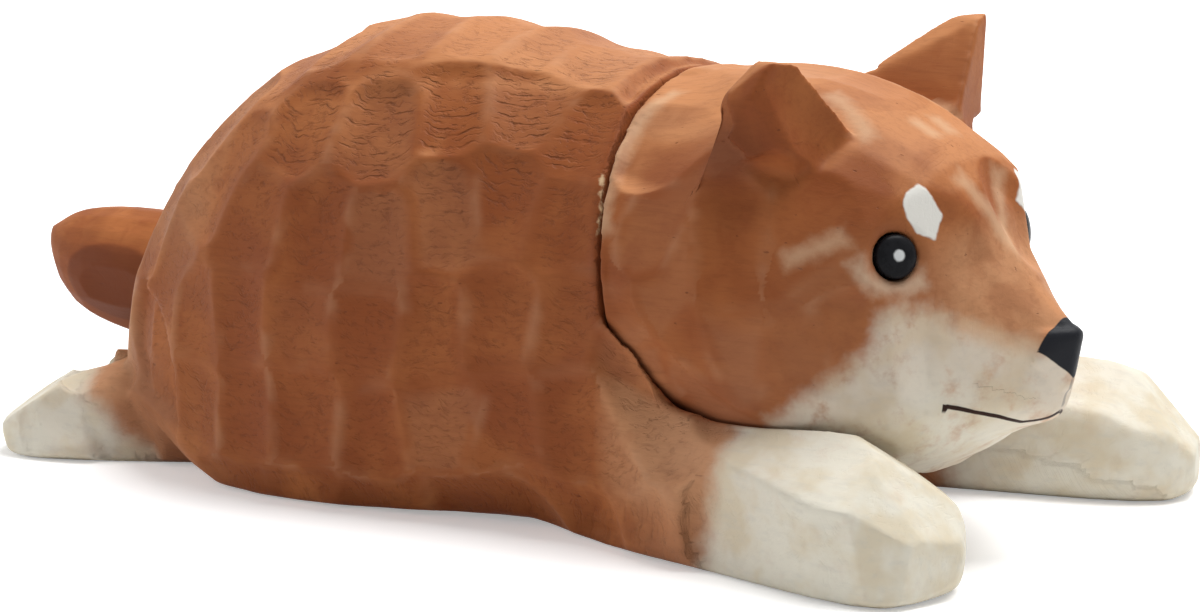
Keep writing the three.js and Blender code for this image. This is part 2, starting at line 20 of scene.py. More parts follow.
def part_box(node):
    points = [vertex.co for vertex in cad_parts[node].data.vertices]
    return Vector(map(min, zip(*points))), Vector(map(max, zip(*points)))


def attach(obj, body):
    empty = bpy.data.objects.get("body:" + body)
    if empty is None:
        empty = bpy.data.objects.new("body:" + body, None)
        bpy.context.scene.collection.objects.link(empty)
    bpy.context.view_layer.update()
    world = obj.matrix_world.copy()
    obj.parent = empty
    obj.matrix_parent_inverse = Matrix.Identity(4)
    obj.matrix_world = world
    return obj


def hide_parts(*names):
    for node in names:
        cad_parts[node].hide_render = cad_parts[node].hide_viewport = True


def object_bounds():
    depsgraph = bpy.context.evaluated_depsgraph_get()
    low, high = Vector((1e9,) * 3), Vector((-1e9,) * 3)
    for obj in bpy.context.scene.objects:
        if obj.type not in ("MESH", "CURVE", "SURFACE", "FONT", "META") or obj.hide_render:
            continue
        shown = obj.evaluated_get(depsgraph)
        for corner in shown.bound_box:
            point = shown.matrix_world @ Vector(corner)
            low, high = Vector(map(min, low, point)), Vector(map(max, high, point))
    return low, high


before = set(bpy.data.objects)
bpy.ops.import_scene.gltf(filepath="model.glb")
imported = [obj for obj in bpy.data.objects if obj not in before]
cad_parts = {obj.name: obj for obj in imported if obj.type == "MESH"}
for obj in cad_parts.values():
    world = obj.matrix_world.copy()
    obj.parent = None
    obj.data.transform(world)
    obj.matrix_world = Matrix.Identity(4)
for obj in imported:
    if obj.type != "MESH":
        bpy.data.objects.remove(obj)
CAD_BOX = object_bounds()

log = logging.getLogger("carved_dog")

Point = tuple[float, float, float]
Flat = tuple[float, float]
Rgb = tuple[float, float, float]
Feed = Union[bpy.types.NodeSocket, float, Rgb]

MM = 0.001
NECK_POINT: Point = (12.3, 0.0, 24.5)
NECK_AXIS = np.array([12.3, 0.0, 0.0])
HEAD_TURN = math.radians(-6.0)
OTHER_SIDE = (1, -1, 1)
DOWN: Point = (0.0, 0.0, -1.0)
FORWARD: Point = (1.0, 0.0, 0.0)
# stands for a painted edge that is out of reach
FAR = 9.0
LINE_REACH = 2.6
# doubled vertices are joined within this many metres
SAME_PLACE = 1e-6


# Carving frame

def rig_shift() -> np.ndarray:
    """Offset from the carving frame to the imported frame, in millimetres.

    Returns:
        The offset.
    """
    low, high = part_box("neck_dowel")
    middle = (np.array(low) + np.array(high)) / 2 / MM
    return middle - np.array(NECK_POINT)


RIG_SHIFT = rig_shift()


def to_metres(points: np.ndarray) -> np.ndarray:
    """Carving-frame millimetres to packed-frame metres."""
    return (points + RIG_SHIFT) * MM


def to_rig(points: np.ndarray) -> np.ndarray:
    """Packed-frame metres to carving-frame millimetres."""
    return points / MM - RIG_SHIFT


def turned(points: np.ndarray, angle: float) -> np.ndarray:
    """Turns points about the upright axis.

    Args:
        points: the points.
        angle: the turn, in radians.

    Returns:
        The turned points.
    """
    cos, sin = math.cos(angle), math.sin(angle)
    x, y, z = points[..., 0], points[..., 1], points[..., 2]
    return np.stack([cos * x - sin * y, sin * x + cos * y, z], axis=-1)


def to_head(points: np.ndarray) -> np.ndarray:
    """Carving frame to the head's own frame, which undoes the head's turn."""
    return turned(points - NECK_AXIS, -HEAD_TURN)


def from_head(points: np.ndarray) -> np.ndarray:
    """The head's own frame back to the carving frame."""
    return turned(points, HEAD_TURN) + NECK_AXIS


def unit(vectors: np.ndarray) -> np.ndarray:
    """Vectors scaled to length one."""
    return vectors / np.maximum(np.linalg.norm(vectors, axis=-1, keepdims=True), 1e-9)


def smoothstep(low: float, high: float, value: np.ndarray) -> np.ndarray:
    """Smooth 0 to 1 ramp between two values."""
    t = np.clip((value - low) / (high - low), 0.0, 1.0)
    return t * t * (3.0 - 2.0 * t)


# Distances for painted edges

def polygon_edge(points: np.ndarray, polygon: tuple[Flat, ...]) -> np.ndarray:
    """Distance of flat points to a polygon's edge.

    Args:
        points: rows of two coordinates.
        polygon: corners in order.

    Returns:
        Distance to the edge, positive inside.
    """
    corners = np.array(polygon)
    best = np.full(len(points), np.inf)
    inside = np.zeros(len(points), bool)
    for start, end in zip(corners, np.roll(corners, -1, axis=0)):
        run = end - start
        along = np.clip((points - start) @ run / (run @ run), 0.0, 1.0)
        best = np.minimum(best, np.linalg.norm(points - start - along[:, None] * run, axis=1))
        crosses = (start[1] > points[:, 1]) != (end[1] > points[:, 1])
        rise = np.where(crosses, run[1], 1.0)
        at = start[0] + (points[:, 1] - start[1]) / rise * run[0]
        inside ^= crosses & (points[:, 0] < at)
    return np.where(inside, best, -best)


def snapped(line: tuple[Point, ...], surface: "Surface", step: float = 0.6) -> np.ndarray:
    """Cuts a broken line into short steps and lays each on a surface.

    Args:
        line: the line's corners.
        surface: the surface.
        step: about how long the steps are.

    Returns:
        The line's points on the surface.
    """
    knots = [np.array(line[0])]
    for start, end in zip(line[:-1], line[1:]):
        run = np.array(end) - np.array(start)
        count = max(1, round(float(np.linalg.norm(run)) / step))
        knots += [np.array(start) + run * (i + 1) / count for i in range(count)]
    return np.array([surface.nearest(knot) for knot in knots])


def line_place(points: np.ndarray, normals: np.ndarray, knots: np.ndarray) -> tuple[np.ndarray, np.ndarray]:
    """Where vertices lie beside a painted line.

    Args:
        points: the vertices.
        normals: their normals.
        knots: the line, already on the surface.

    Returns:
        Distance to the side of the line, with a sign, and how far inside its ends each vertex is.
    """
    best = np.full(len(points), np.inf)
    side = np.full(len(points), FAR)
    reach = np.full(len(points), -FAR)
    lengths = np.linalg.norm(np.diff(knots, axis=0), axis=1)
    walked = np.concatenate([[0.0], np.cumsum(lengths)])
    for i, (start, end) in enumerate(zip(knots[:-1], knots[1:])):
        way = (end - start) / lengths[i]
        offset = points - start
        raw = offset @ way
        low = -np.inf if i == 0 else 0.0
        high = np.inf if i == len(lengths) - 1 else lengths[i]
        foot = np.clip(raw, 0.0, lengths[i])
        gap = ((offset - foot[:, None] * way) ** 2).sum(1)
        won = np.flatnonzero(gap < best)
        best[won] = gap[won]
        cross = (offset - raw[:, None] * way)[won]
        side[won] = (cross * np.cross(normals[won], way)).sum(1)
        at = walked[i] + np.clip(raw[won], low, high)
        reach[won] = np.minimum(at, walked[-1] - at)
    near = best < LINE_REACH ** 2
    return np.where(near, side, FAR), np.where(near, reach, -FAR)


@dataclass(frozen=True)
class Zone:
    """A part of a block where stain, painted light and shade, or chatter differs, with soft borders.

    Attributes:
        amount: how much it differs there.
        x: ramps from none to full, along the block.
        y: the same, outwards from the middle.
        z: the same, upwards.
        side: 1 for the far side alone, -1 for the near one, 0 for both.
        lean: how far the upward ramps rise per millimetre outwards, and from where.
    """

    amount: float
    x: tuple[Flat, ...] = ()
    y: tuple[Flat, ...] = ()
    z: tuple[Flat, ...] = ()
    side: int = 0
    lean: Flat = (0.0, 0.0)

    def share(self, points: np.ndarray) -> np.ndarray:
        """How much each point differs.

        Args:
            points: the points.

        Returns:
            A number per point, from 0 to the amount.
        """
        out = points[:, 1] * self.side if self.side else np.abs(points[:, 1])
        slope, start = self.lean
        found = np.full(len(points), self.amount)
        height = points[:, 2] - slope * (out - start)
        for values, ramps in ((points[:, 0], self.x), (out, self.y), (height, self.z)):
            for none, full in ramps:
                found *= smoothstep(none, full, values)
        return found


def zoned(points: np.ndarray, zones: tuple[Zone, ...]) -> np.ndarray:
    """Adds up zones.

    Args:
        points: the points.
        zones: the zones.

    Returns:
        The sum at each point.
    """
    total = np.zeros(len(points))
    for zone in zones:
        total += zone.share(points)
    return total


# Gouge work

@dataclass(frozen=True)
class Gouge:
    """How a tool bites.

    Attributes:
        depth: bite at the middle of a cut.
        across: radius of the hollow, across the stroke.
        along: radius of the sweep that the hand follows round the form, negative for a dip.
        half: half the stroke's length, past which the tool lifts out.
        feel: radius over which the hand feels the form.
        reach: how far from its middle a cut is looked at.
    """

    depth: float
    across: float
    along: float
    half: float = 4.4
    feel: float = 3.0
    reach: float = 11.0


class Tool(Enum):
    """The tools that the carver used."""

    FLANK = Gouge(depth=0.26, across=15.0, along=60.0, half=3.6)
    CREST = Gouge(depth=0.18, across=17.0, along=45.0, half=6.0)
    RUMP = Gouge(depth=0.14, across=20.0, along=45.0, half=5.0)
    PAW = Gouge(depth=0.35, across=400.0, along=300.0, half=7.0, feel=2.8, reach=10.0)
    HEEL = Gouge(depth=0.1, across=20.0, along=26.0, half=3.6, feel=1.8, reach=5.0)
    CHEEK = Gouge(depth=0.1, across=26.0, along=34.0, half=5.0, feel=2.2, reach=8.5)
    FLAT = Gouge(depth=0.1, across=70.0, along=90.0, half=20.0, feel=2.0, reach=8.0)
    EAR_HOLLOW = Gouge(depth=0.6, across=7.0, along=200.0, reach=6.2)
    EYE_HOLLOW = Gouge(depth=0.8, across=6.0, along=-24.0, reach=7.0)
    TAIL_HOLLOW = Gouge(depth=0.8, across=14.0, along=-40.0)
    PARED = Gouge(depth=1.3, across=200.0, along=200.0, reach=8.5)


@dataclass(frozen=True)
class CutRow:
    """A row of cuts made with one tool in one direction.

    Attributes:
        middles: the middle of each cut.
        stroke: the way the tool travels.
        tool: the tool.
        both_sides: whether the row is cut on the other side too.
    """

    middles: tuple[Point, ...]
    stroke: Point
    tool: Tool
    both_sides: bool = True


@dataclass(frozen=True)
class Hollow:
    """A single cut that only digs in, made after the rows.

    Attributes:
        RUN_OUT: width of the cut's fading rim.
        TURN: how much straighter a face stands where the cut is whole.
        MOST: the deepest it digs, in depths of the tool.
        middle: where it is deepest.
        facing: the way its middle faces.
        stroke: the way the tool travels.
        tool: the tool.
        least_facing: how far a face may turn away from it, as a cosine.
    """

    RUN_OUT: ClassVar[float] = 2.4
    TURN: ClassVar[float] = 0.25
    MOST: ClassVar[float] = 1.4

    middle: Point
    facing: Point
    stroke: Point
    tool: Tool
    least_facing: float = 0.55

    def twin(self) -> "Hollow":
        """The same cut on the other side."""
        places = (tuple(np.array(place) * OTHER_SIDE) for place in (self.middle, self.facing, self.stroke))
        return Hollow(*places, self.tool, self.least_facing)

    def dig(self, points: np.ndarray, normals: np.ndarray) -> np.ndarray:
        """Digs the cut into a mesh.

        Args:
            points: the vertices.
            normals: their normals.

        Returns:
            The new vertices.
        """
        normal = unit(np.array(self.facing))
        stroke = np.array(self.stroke)
        along = unit(stroke - (stroke @ normal) * normal)
        gouge = self.tool.value
        offset = points - np.array(self.middle)
        u, v = offset @ np.cross(normal, along), offset @ along
        height = offset @ normal + gouge.depth - u * u / (2 * gouge.across) + v * v / (2 * gouge.along)
        share = smoothstep(self.least_facing, self.least_facing + self.TURN, normals @ normal)
        share *= smoothstep(gouge.reach, gouge.reach - self.RUN_OUT, np.linalg.norm(offset, axis=1))
        shift = np.clip(height, 0.0, self.MOST * gouge.depth)
        return points - normal * (shift * share)[:, None]


@dataclass
class CutField:
    """The carved surface.

    Attributes:
        points: the carved vertices.
        ridge: distance to the nearest ridge between two cuts.
        side: how much that ridge runs along the stroke, 0 to 1.
        across: place across the stroke.
        along: place along the stroke.
        tone: one number per cut, 0 to 1.
    """

    points: np.ndarray
    ridge: np.ndarray
    side: np.ndarray
    across: np.ndarray
    along: np.ndarray
    tone: np.ndarray


@dataclass
class Surface:
    """A closed mesh with a tree for nearest points.

    Attributes:
        points: the vertices.
        faces: vertex numbers of each face.
        tree: the tree.
    """

    points: np.ndarray
    faces: list[tuple[int, ...]]
    tree: BVHTree = field(init=False)

    def __post_init__(self) -> None:
        """Builds the tree."""
        self.tree = BVHTree.FromPolygons(self.points.tolist(), self.faces)

    @classmethod
    def of_node(cls, node: str) -> "Surface":
        """Reads the CAD surface of a node and joins its loose triangles.

        Args:
            node: the CAD node.

        Returns:
            The surface.
        """
        mesh = bmesh.new()
        mesh.from_mesh(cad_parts[node].data)
        bmesh.ops.remove_doubles(mesh, verts=mesh.verts, dist=SAME_PLACE)
        bmesh.ops.recalc_face_normals(mesh, faces=mesh.faces)
        points = to_rig(np.array([v.co[:] for v in mesh.verts]))
        faces = [tuple(v.index for v in f.verts) for f in mesh.faces]
        mesh.free()
        return cls(points, faces)

    def nearest(self, point: np.ndarray) -> np.ndarray:
        """The nearest point of the surface."""
        return np.array(self.tree.find_nearest(Vector(point))[0])

    def distances(self, points: np.ndarray, limit: float) -> np.ndarray:
        """Distance of each point to the surface.

        Args:
            points: the points.
            limit: the largest distance that is told apart.

        Returns:
            The distances, none above the limit.
        """
        found = np.full(len(points), limit)
        low, high = self.points.min(0) - limit, self.points.max(0) + limit
        for i in np.flatnonzero(((points > low) & (points < high)).all(1)):
            hit = self.tree.find_nearest(points[i], limit)
            if hit[0] is not None:
                found[i] = hit[3]
        return found


class Carver:
    """Cuts rows of strokes into a surface.

    Attributes:
        HIGHEST: how far a cut may stand out of the block.
        DEEPEST: how far it may dig in, as a negative number.
        TILT: unevenness of a cut's facing.
        SWERVE: unevenness of its direction.
        UNEVEN: unevenness of its depth and roundness, as a share.
        LIFT_OUT: radius on which the tool leaves the wood.
        STEEP: slope between two cuts from which their ridge is kept crisp.
        CENTRE_LINE: cuts nearer the middle than this have no twin.
        SAME_FACE: how alike a vertex faces to be felt with the middle, as a cosine.
        LEAST_FACING: how far a vertex may turn away from a cut, as a cosine.
        LEAST_TURN: slope between two cuts below which they count as one.
        RIDGE_LIMIT: distance from a ridge at which it no longer counts.
        EVEN_TONE: the tone where no cut was made.
    """

    HIGHEST = 0.3
    DEEPEST = -1.2
    TILT = 0.035
    SWERVE = 0.12
    UNEVEN = 0.22
    LIFT_OUT = 4.0
    STEEP = 0.1
    CENTRE_LINE = 1.6
    SAME_FACE = 0.3
    LEAST_FACING = 0.35
    LEAST_TURN = 1e-3
    RIDGE_LIMIT = 3.0
    EVEN_TONE = 0.5

    def __init__(self, points: np.ndarray, normals: np.ndarray, seed: int, wander: float) -> None:
        """Sets up the carver.

        Args:
            points: vertices of the block.
            normals: their normals.
            seed: seed for the hand's unevenness.
            wander: how far a mirrored cut strays from its twin.
        """
        self.points = points
        self.normals = normals
        self.hand = np.random.default_rng(seed)
        self.wander = wander
        self.places: list[np.ndarray] = []
        self.frames: list[np.ndarray] = []
        self.bites: list[tuple[float, ...]] = []

    def add(self, row: CutRow) -> None:
        """Lays out one row, and its twin where there is one.

        Args:
            row: the row.
        """
        for middle in row.middles:
            self._place(np.array(middle), np.array(row.stroke), row.tool.value)
            if row.both_sides and abs(middle[1]) > self.CENTRE_LINE:
                twin = np.array(middle) * OTHER_SIDE + self.hand.uniform(-1, 1, 3) * self.wander
                self._place(twin, np.array(row.stroke) * OTHER_SIDE, row.tool.value)

    def _place(self, middle: np.ndarray, stroke: np.ndarray, gouge: Gouge) -> None:
        """Puts one cut on the form that the hand feels round its middle.

        Args:
            middle: the middle of the cut.
            stroke: the way the tool travels.
            gouge: how the tool bites.
        """
        start = int(((self.points - middle) ** 2).sum(1).argmin())
        felt = ((self.points - self.points[start]) ** 2).sum(1) < gouge.feel ** 2
        felt &= self.normals @ self.normals[start] > self.SAME_FACE
        normal = unit(self.normals[felt].mean(0) + self.hand.normal(0.0, self.TILT, 3))
        along = unit(stroke - (stroke @ normal) * normal)
        across = np.cross(normal, along)
        swerve = self.hand.normal(0.0, self.SWERVE)
        along, across = along + swerve * across, across - swerve * along
        uneven = self.hand.uniform(1.0 - self.UNEVEN, 1.0 + self.UNEVEN, 2)
        self.places.append(self.points[felt].mean(0))
        self.frames.append(np.stack([normal, unit(across), unit(along)]))
        sizes = (gouge.depth * uneven[0], gouge.across * uneven[1], gouge.along, gouge.half)
        self.bites.append((*sizes, gouge.reach, float(self.hand.uniform())))

    def _above(self, points: np.ndarray, cut: np.ndarray) -> tuple[np.ndarray, ...]:
        """How far points stand out of their cuts.

        Args:
            points: the points.
            cut: the cut's number for each point.

        Returns:
            Height over the cut, its slope, and the place across and along the stroke.
        """
        frames = np.array(self.frames)[cut]
        depth, round_across, round_along, half = np.array(self.bites)[cut].T[:4]
        offset = points - np.array(self.places)[cut]
        rise, u, v = np.einsum("nij,nj->in", frames, offset)
        past = np.sign(v) * np.maximum(np.abs(v) - half, 0.0)
        height = rise + depth - u * u / (2 * round_across) + v * v / (2 * round_along)
        height -= past * past / (2 * self.LIFT_OUT)
        slope = frames[:, 0] - (u / round_across)[:, None] * frames[:, 1]
        slope += (v / round_along - past / self.LIFT_OUT)[:, None] * frames[:, 2]
        return height, slope, u, v

    def _winners(self) -> tuple[np.ndarray, np.ndarray]:
        """Finds the two deepest cuts at each vertex.

        Returns:
            How far each moves the vertex along its normal, and the numbers of the cuts.
        """
        shifts = np.full((2, len(self.points)), np.inf)
        winners = np.zeros((2, len(self.points)), int)
        for number, (place, bite) in enumerate(zip(self.places, self.bites)):
            near = np.flatnonzero(((self.points - place) ** 2).sum(1) < bite[4] ** 2)
            height, slope, _, _ = self._above(self.points[near], np.full(len(near), number))
            facing = (slope * self.normals[near]).sum(1)
            met = facing > self.LEAST_FACING
            near, shift = near[met], (-height / facing)[met]
            first = shift < shifts[0, near]
            won, lost = near[first], near[~first]
            shifts[1, won], winners[1, won] = shifts[0, won], winners[0, won]
            shifts[0, won], winners[0, won] = shift[first], number
            rest = shift[~first]
            second = rest < shifts[1, lost]
            shifts[1, lost[second]], winners[1, lost[second]] = rest[second], number
        return shifts, winners

    def cut(self, voxel: float) -> CutField:
        """Cuts the whole block.

        Args:
            voxel: spacing of the vertices, which lets those beside a ridge be drawn onto it.

        Returns:
            The carved surface.
        """
        shifts, winners = self._winners()
        shift = np.clip(shifts[0], self.DEEPEST, self.HIGHEST)
        points = self.points + self.normals * shift[:, None]
        height, slope, u, v = self._above(points, winners[0])
        other, lean, _, _ = self._above(points, winners[1])
        turn = slope - lean
        steep = np.linalg.norm(turn, axis=1)
        least = np.maximum(steep, self.LEAST_TURN)
        known = np.isfinite(shifts[1]) & (steep > self.LEAST_TURN)
        ridge = np.where(known, (height - other) / least, FAR)
        side = np.abs((turn * np.array(self.frames)[winners[0], 1]).sum(1)) / least
        crisp = known & (steep > self.STEEP) & (shift == shifts[0])
        self._draw_to_ridges(points, crisp, (height, slope), (other, lean), voxel)
        tone = np.where(np.isfinite(shifts[0]), np.array(self.bites)[winners[0], 5], self.EVEN_TONE)
        return CutField(points, np.clip(ridge, 0.0, self.RIDGE_LIMIT), side, u, v, tone)

    @staticmethod
    def _draw_to_ridges(points: np.ndarray, crisp: np.ndarray, one: tuple, two: tuple, voxel: float) -> None:
        """Moves the vertices beside a ridge onto it, which keeps it crisp.

        Args:
            points: the vertices, which are changed.
            crisp: which of them lie by a ridge that is kept.
            one: height and slope of the deepest cut at each.
            two: the same of the next cut.
            voxel: spacing of the vertices.
        """
        g11 = (one[1] ** 2).sum(1)
        g12 = (one[1] * two[1]).sum(1)
        g22 = (two[1] ** 2).sum(1)
        det = np.maximum(g11 * g22 - g12 * g12, 1e-6)
        a = (-one[0] * g22 + two[0] * g12) / det
        b = (one[0] * g12 - two[0] * g11) / det
        move = a[:, None] * one[1] + b[:, None] * two[1]
        close = crisp & ((move ** 2).sum(1) < (voxel / 2) ** 2)
        points[close] += move[close]


# Meshes

def put_in_scene(name: str, data: bpy.types.ID) -> bpy.types.Object:
    """Makes an object and links it.

    Args:
        name: its name.
        data: its mesh, lamp or camera.

    Returns:
        The object.
    """
    made = bpy.data.objects.new(name, data)
    bpy.context.collection.objects.link(made)
    return made


def voxel_mesh(surface: Surface, voxel: float, name: str) -> bpy.types.Mesh:
    """Meshes a surface evenly.

    Args:
        surface: the surface to follow.
        voxel: edge length.
        name: name of the new mesh.

    Returns:
        A closed quad mesh.
    """
    rough = bpy.data.meshes.new(name + "_rough")
    rough.from_pydata(surface.points.tolist(), [], surface.faces)
    holder = put_in_scene(name + "_rough", rough)
    remesh = holder.modifiers.new("even", "REMESH")
    remesh.mode = "VOXEL"
    remesh.voxel_size = voxel
    graph = bpy.context.evaluated_depsgraph_get()
    even = bpy.data.meshes.new_from_object(holder.evaluated_get(graph))
    even.name = name
    bpy.data.objects.remove(holder)
    bpy.data.meshes.remove(rough)
    return even


def ease(work: bmesh.types.BMesh, verts: list[bmesh.types.BMVert]) -> None:
    """Smooths vertices lightly, once."""
    bmesh.ops.smooth_vert(work, verts=verts, factor=0.5, use_axis_x=True, use_axis_y=True, use_axis_z=True)


SAND_ROUNDS = 24
SAND_DRAW_IN = 0.7


def sand(mesh: bpy.types.Mesh, rounds: int, soft: tuple[tuple[Point, float], ...] = ()) -> None:
    """Takes the burrs off a mesh, and wears some places soft.

    Args:
        mesh: the mesh, which is changed.
        rounds: rounds of light smoothing.
        soft: middles and radii of the worn places.
    """
    work = bmesh.new()
    work.from_mesh(mesh)
    for _ in range(rounds):
        ease(work, work.verts)
    for middle, radius in soft:
        worn = [(v, (v.co - Vector(middle)).length) for v in work.verts]
        worn = [pair for pair in worn if pair[1] < radius]
        for turn in range(SAND_ROUNDS):
            limit = radius * (1.0 - SAND_DRAW_IN * turn / SAND_ROUNDS)
            ease(work, [v for v, gap in worn if gap < limit])
    bmesh.ops.recalc_face_normals(work, faces=work.faces)
    work.to_mesh(mesh)
    work.free()


def read_vectors(mesh: bpy.types.Mesh, stored: str) -> np.ndarray:
    """Places or normals of the vertices.

    Args:
        mesh: the mesh.
        stored: "co" for places, "normal" for normals.

    Returns:
        One row per vertex.
    """
    flat = np.empty(len(mesh.vertices) * 3, np.float32)
    mesh.vertices.foreach_get(stored, flat)
    return flat.reshape(-1, 3).astype(float)


def write_points(mesh: bpy.types.Mesh, points: np.ndarray) -> None:
    """Sets the vertex places."""
    mesh.vertices.foreach_set("co", points.astype(np.float32).ravel())
    mesh.update()


def write_value(mesh: bpy.types.Mesh, name: str, values: np.ndarray) -> None:
    """Stores one number per vertex."""
    layer = mesh.attributes.new(name, "FLOAT", "POINT")
    layer.data.foreach_set("value", values.astype(np.float32))


def add_piece(mesh: bpy.types.Mesh, node: str, finish: bpy.types.Material) -> bpy.types.Object:
    """Turns a finished mesh into the piece that stands for a node.

    Args:
        mesh: the mesh, in packed-frame metres.
        node: the CAD node that it replaces.
        finish: its material.

    Returns:
        The new object.
    """
    piece = put_in_scene(node + "_piece", mesh)
    mesh.materials.clear()
    mesh.materials.append(finish)
    for face in mesh.polygons:
        face.use_smooth = True
    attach(piece, "root")
    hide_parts(node)
    log.info("%s: %d vertices, %d faces", piece.name, len(mesh.vertices), len(mesh.polygons))
    return piece


# Shader tools

class Nodes:
    """A node tree under construction."""

    def __init__(self, tree: bpy.types.NodeTree) -> None:
        """Takes the tree to fill."""
        self.tree = tree

    def add(self, kind: str, **settings: object) -> bpy.types.Node:
        """Adds a node and sets its properties.

        Args:
            kind: the node's type.
            settings: its properties by name.

        Returns:
            The node.
        """
        node = self.tree.nodes.new(kind)
        for key, value in settings.items():
            setattr(node, key, value)
        return node

    def put(self, value: Feed, socket: bpy.types.NodeSocket) -> None:
        """Links a socket, or sets a plain value.

        Args:
            value: what goes in.
            socket: where it goes.
        """
        if isinstance(value, bpy.types.NodeSocket):
            self.tree.links.new(value, socket)
        elif isinstance(value, tuple) and len(value) == 3 and socket.type == "RGBA":
            socket.default_value = (*value, 1.0)
        else:
            socket.default_value = value

    def fill(self, node: bpy.types.Node, out: Union[int, str], feeds: dict) -> bpy.types.NodeSocket:
        """Feeds several sockets of a node.

        Args:
            node: the node.
            out: name or number of the output that is wanted.
            feeds: what goes in, by name or number of the input.

        Returns:
            That output.
        """
        for label, value in feeds.items():
            self.put(value, node.inputs[label])
        return node.outputs[out]

    def math(self, operation: str, a: Feed, b: Feed = 0.0, clamp: bool = False) -> bpy.types.NodeSocket:
        """Does one sum, kept between 0 and 1 if it is clamped."""
        return self.fill(self.add("ShaderNodeMath", operation=operation, use_clamp=clamp), 0, {0: a, 1: b})

    def times(self, a: Feed, b: Feed, clamp: bool = False) -> bpy.types.NodeSocket:
        """Multiplies two numbers."""
        return self.math("MULTIPLY", a, b, clamp)

    def plus(self, a: Feed, b: Feed) -> bpy.types.NodeSocket:
        """Adds two numbers."""
        return self.math("ADD", a, b)

    def mix(self, share: Feed, a: Feed, b: Feed) -> bpy.types.NodeSocket:
        """Mixes two colours."""
        node = self.add("ShaderNodeMix", data_type="RGBA")
        return self.fill(node, 2, {"Factor": share, 6: a, 7: b})

    def blend(self, share: Feed, a: Feed, b: Feed) -> bpy.types.NodeSocket:
        """Mixes two numbers."""
        node = self.add("ShaderNodeMix", data_type="FLOAT")
        return self.fill(node, 0, {"Factor": share, 2: a, 3: b})

    def ramp(
        self, value: Feed, low: float, high: float, first: float = 0.0, last: float = 1.0
    ) -> bpy.types.NodeSocket:
        """Smooth ramp from one value range to another.

        Args:
            value: the value.
            low: where the ramp starts.
            high: where it ends.
            first: what it gives at the start.
            last: what it gives at the end.

        Returns:
            The result.
        """
        node = self.add("ShaderNodeMapRange", interpolation_type="SMOOTHSTEP")
        sizes = {"From Min": low, "From Max": high, "To Min": first, "To Max": last}
        return self.fill(node, 0, {"Value": value, **sizes})

    def noise(
        self, place: Feed, scale: float, detail: float = 3.0, rough: float = 0.55, warp: float = 0.0
    ) -> bpy.types.NodeSocket:
        """Noise value, about 0 to 1, of a scale, detail, roughness and warp."""
        sizes = {"Scale": scale, "Detail": detail, "Roughness": rough, "Distortion": warp}
        return self.fill(self.add("ShaderNodeTexNoise"), "Fac", {"Vector": place, **sizes})

    def wobble(
        self, place: Feed, scale: float, detail: float, swing: float, rough: float = 0.55
    ) -> bpy.types.NodeSocket:
        """Noise to both sides of zero, as far apart as the swing."""
        return self.times(self.math("SUBTRACT", self.noise(place, scale, detail, rough), 0.5), swing)

    def stretch(self, place: Feed, scale: Point) -> bpy.types.NodeSocket:
        """Scales coordinates."""
        return self.fill(self.add("ShaderNodeMapping"), 0, {"Vector": place, "Scale": scale})

    def join(self, x: Feed, y: Feed, z: Feed) -> bpy.types.NodeSocket:
        """Makes coordinates out of three numbers."""
        return self.fill(self.add("ShaderNodeCombineXYZ"), 0, {0: x, 1: y, 2: z})

    def value_of(self, name: str) -> bpy.types.NodeSocket:
        """A number stored on the mesh."""
        return self.add("ShaderNodeAttribute", attribute_name=name).outputs["Fac"]

    def millimetres(self) -> bpy.types.NodeSocket:
        """Object coordinates in millimetres."""
        return self.stretch(self.add("ShaderNodeTexCoord").outputs["Object"], (1 / MM,) * 3)

    def unlit_rays(self) -> bpy.types.NodeSocket:
        """Finds the rays that see the white background.

        Returns:
            One for them, and none for the rays that light the dog.
        """
        rays = self.add("ShaderNodeLightPath").outputs
        mirrored = self.math("MAXIMUM", rays["Is Glossy Ray"], rays["Is Transmission Ray"])
        return self.math("MAXIMUM", rays["Is Camera Ray"], mirrored)

    def bump(self, height: Feed, strength: float, distance: float) -> bpy.types.NodeSocket:
        """Surface relief from a height, where a height of one is the distance in metres."""
        sizes = {"Strength": strength, "Distance": distance}
        return self.fill(self.add("ShaderNodeBump"), 0, {**sizes, "Height": height})


FLOAT, COLOUR, VECTOR = "NodeSocketFloat", "NodeSocketColor", "NodeSocketVector"


def new_group(
    name: str, inputs: dict[str, str], outputs: dict[str, str]
) -> tuple[Nodes, bpy.types.Node, bpy.types.Node]:
    """Starts a node group with named sockets.

    Args:
        name: the group's name.
        inputs: socket kind by input name.
        outputs: socket kind by output name.

    Returns:
        The builder, the group's input node and its output node.
    """
    tree = bpy.data.node_groups.new(name, "ShaderNodeTree")
    for label, kind in inputs.items():
        tree.interface.new_socket(label, in_out="INPUT", socket_type=kind)
    for label, kind in outputs.items():
        tree.interface.new_socket(label, in_out="OUTPUT", socket_type=kind)
    build = Nodes(tree)
    return build, build.add("NodeGroupInput"), build.add("NodeGroupOutput")


def new_finish(name: str) -> tuple[bpy.types.Material, Nodes, bpy.types.Node]:
    """Starts a material.

    Args:
        name: its name.

    Returns:
        The material, its builder and its shader.
    """
    material = bpy.data.materials.new(name)
    material.use_nodes = True
    return material, Nodes(material.node_tree), material.node_tree.nodes["Principled BSDF"]


# Colours

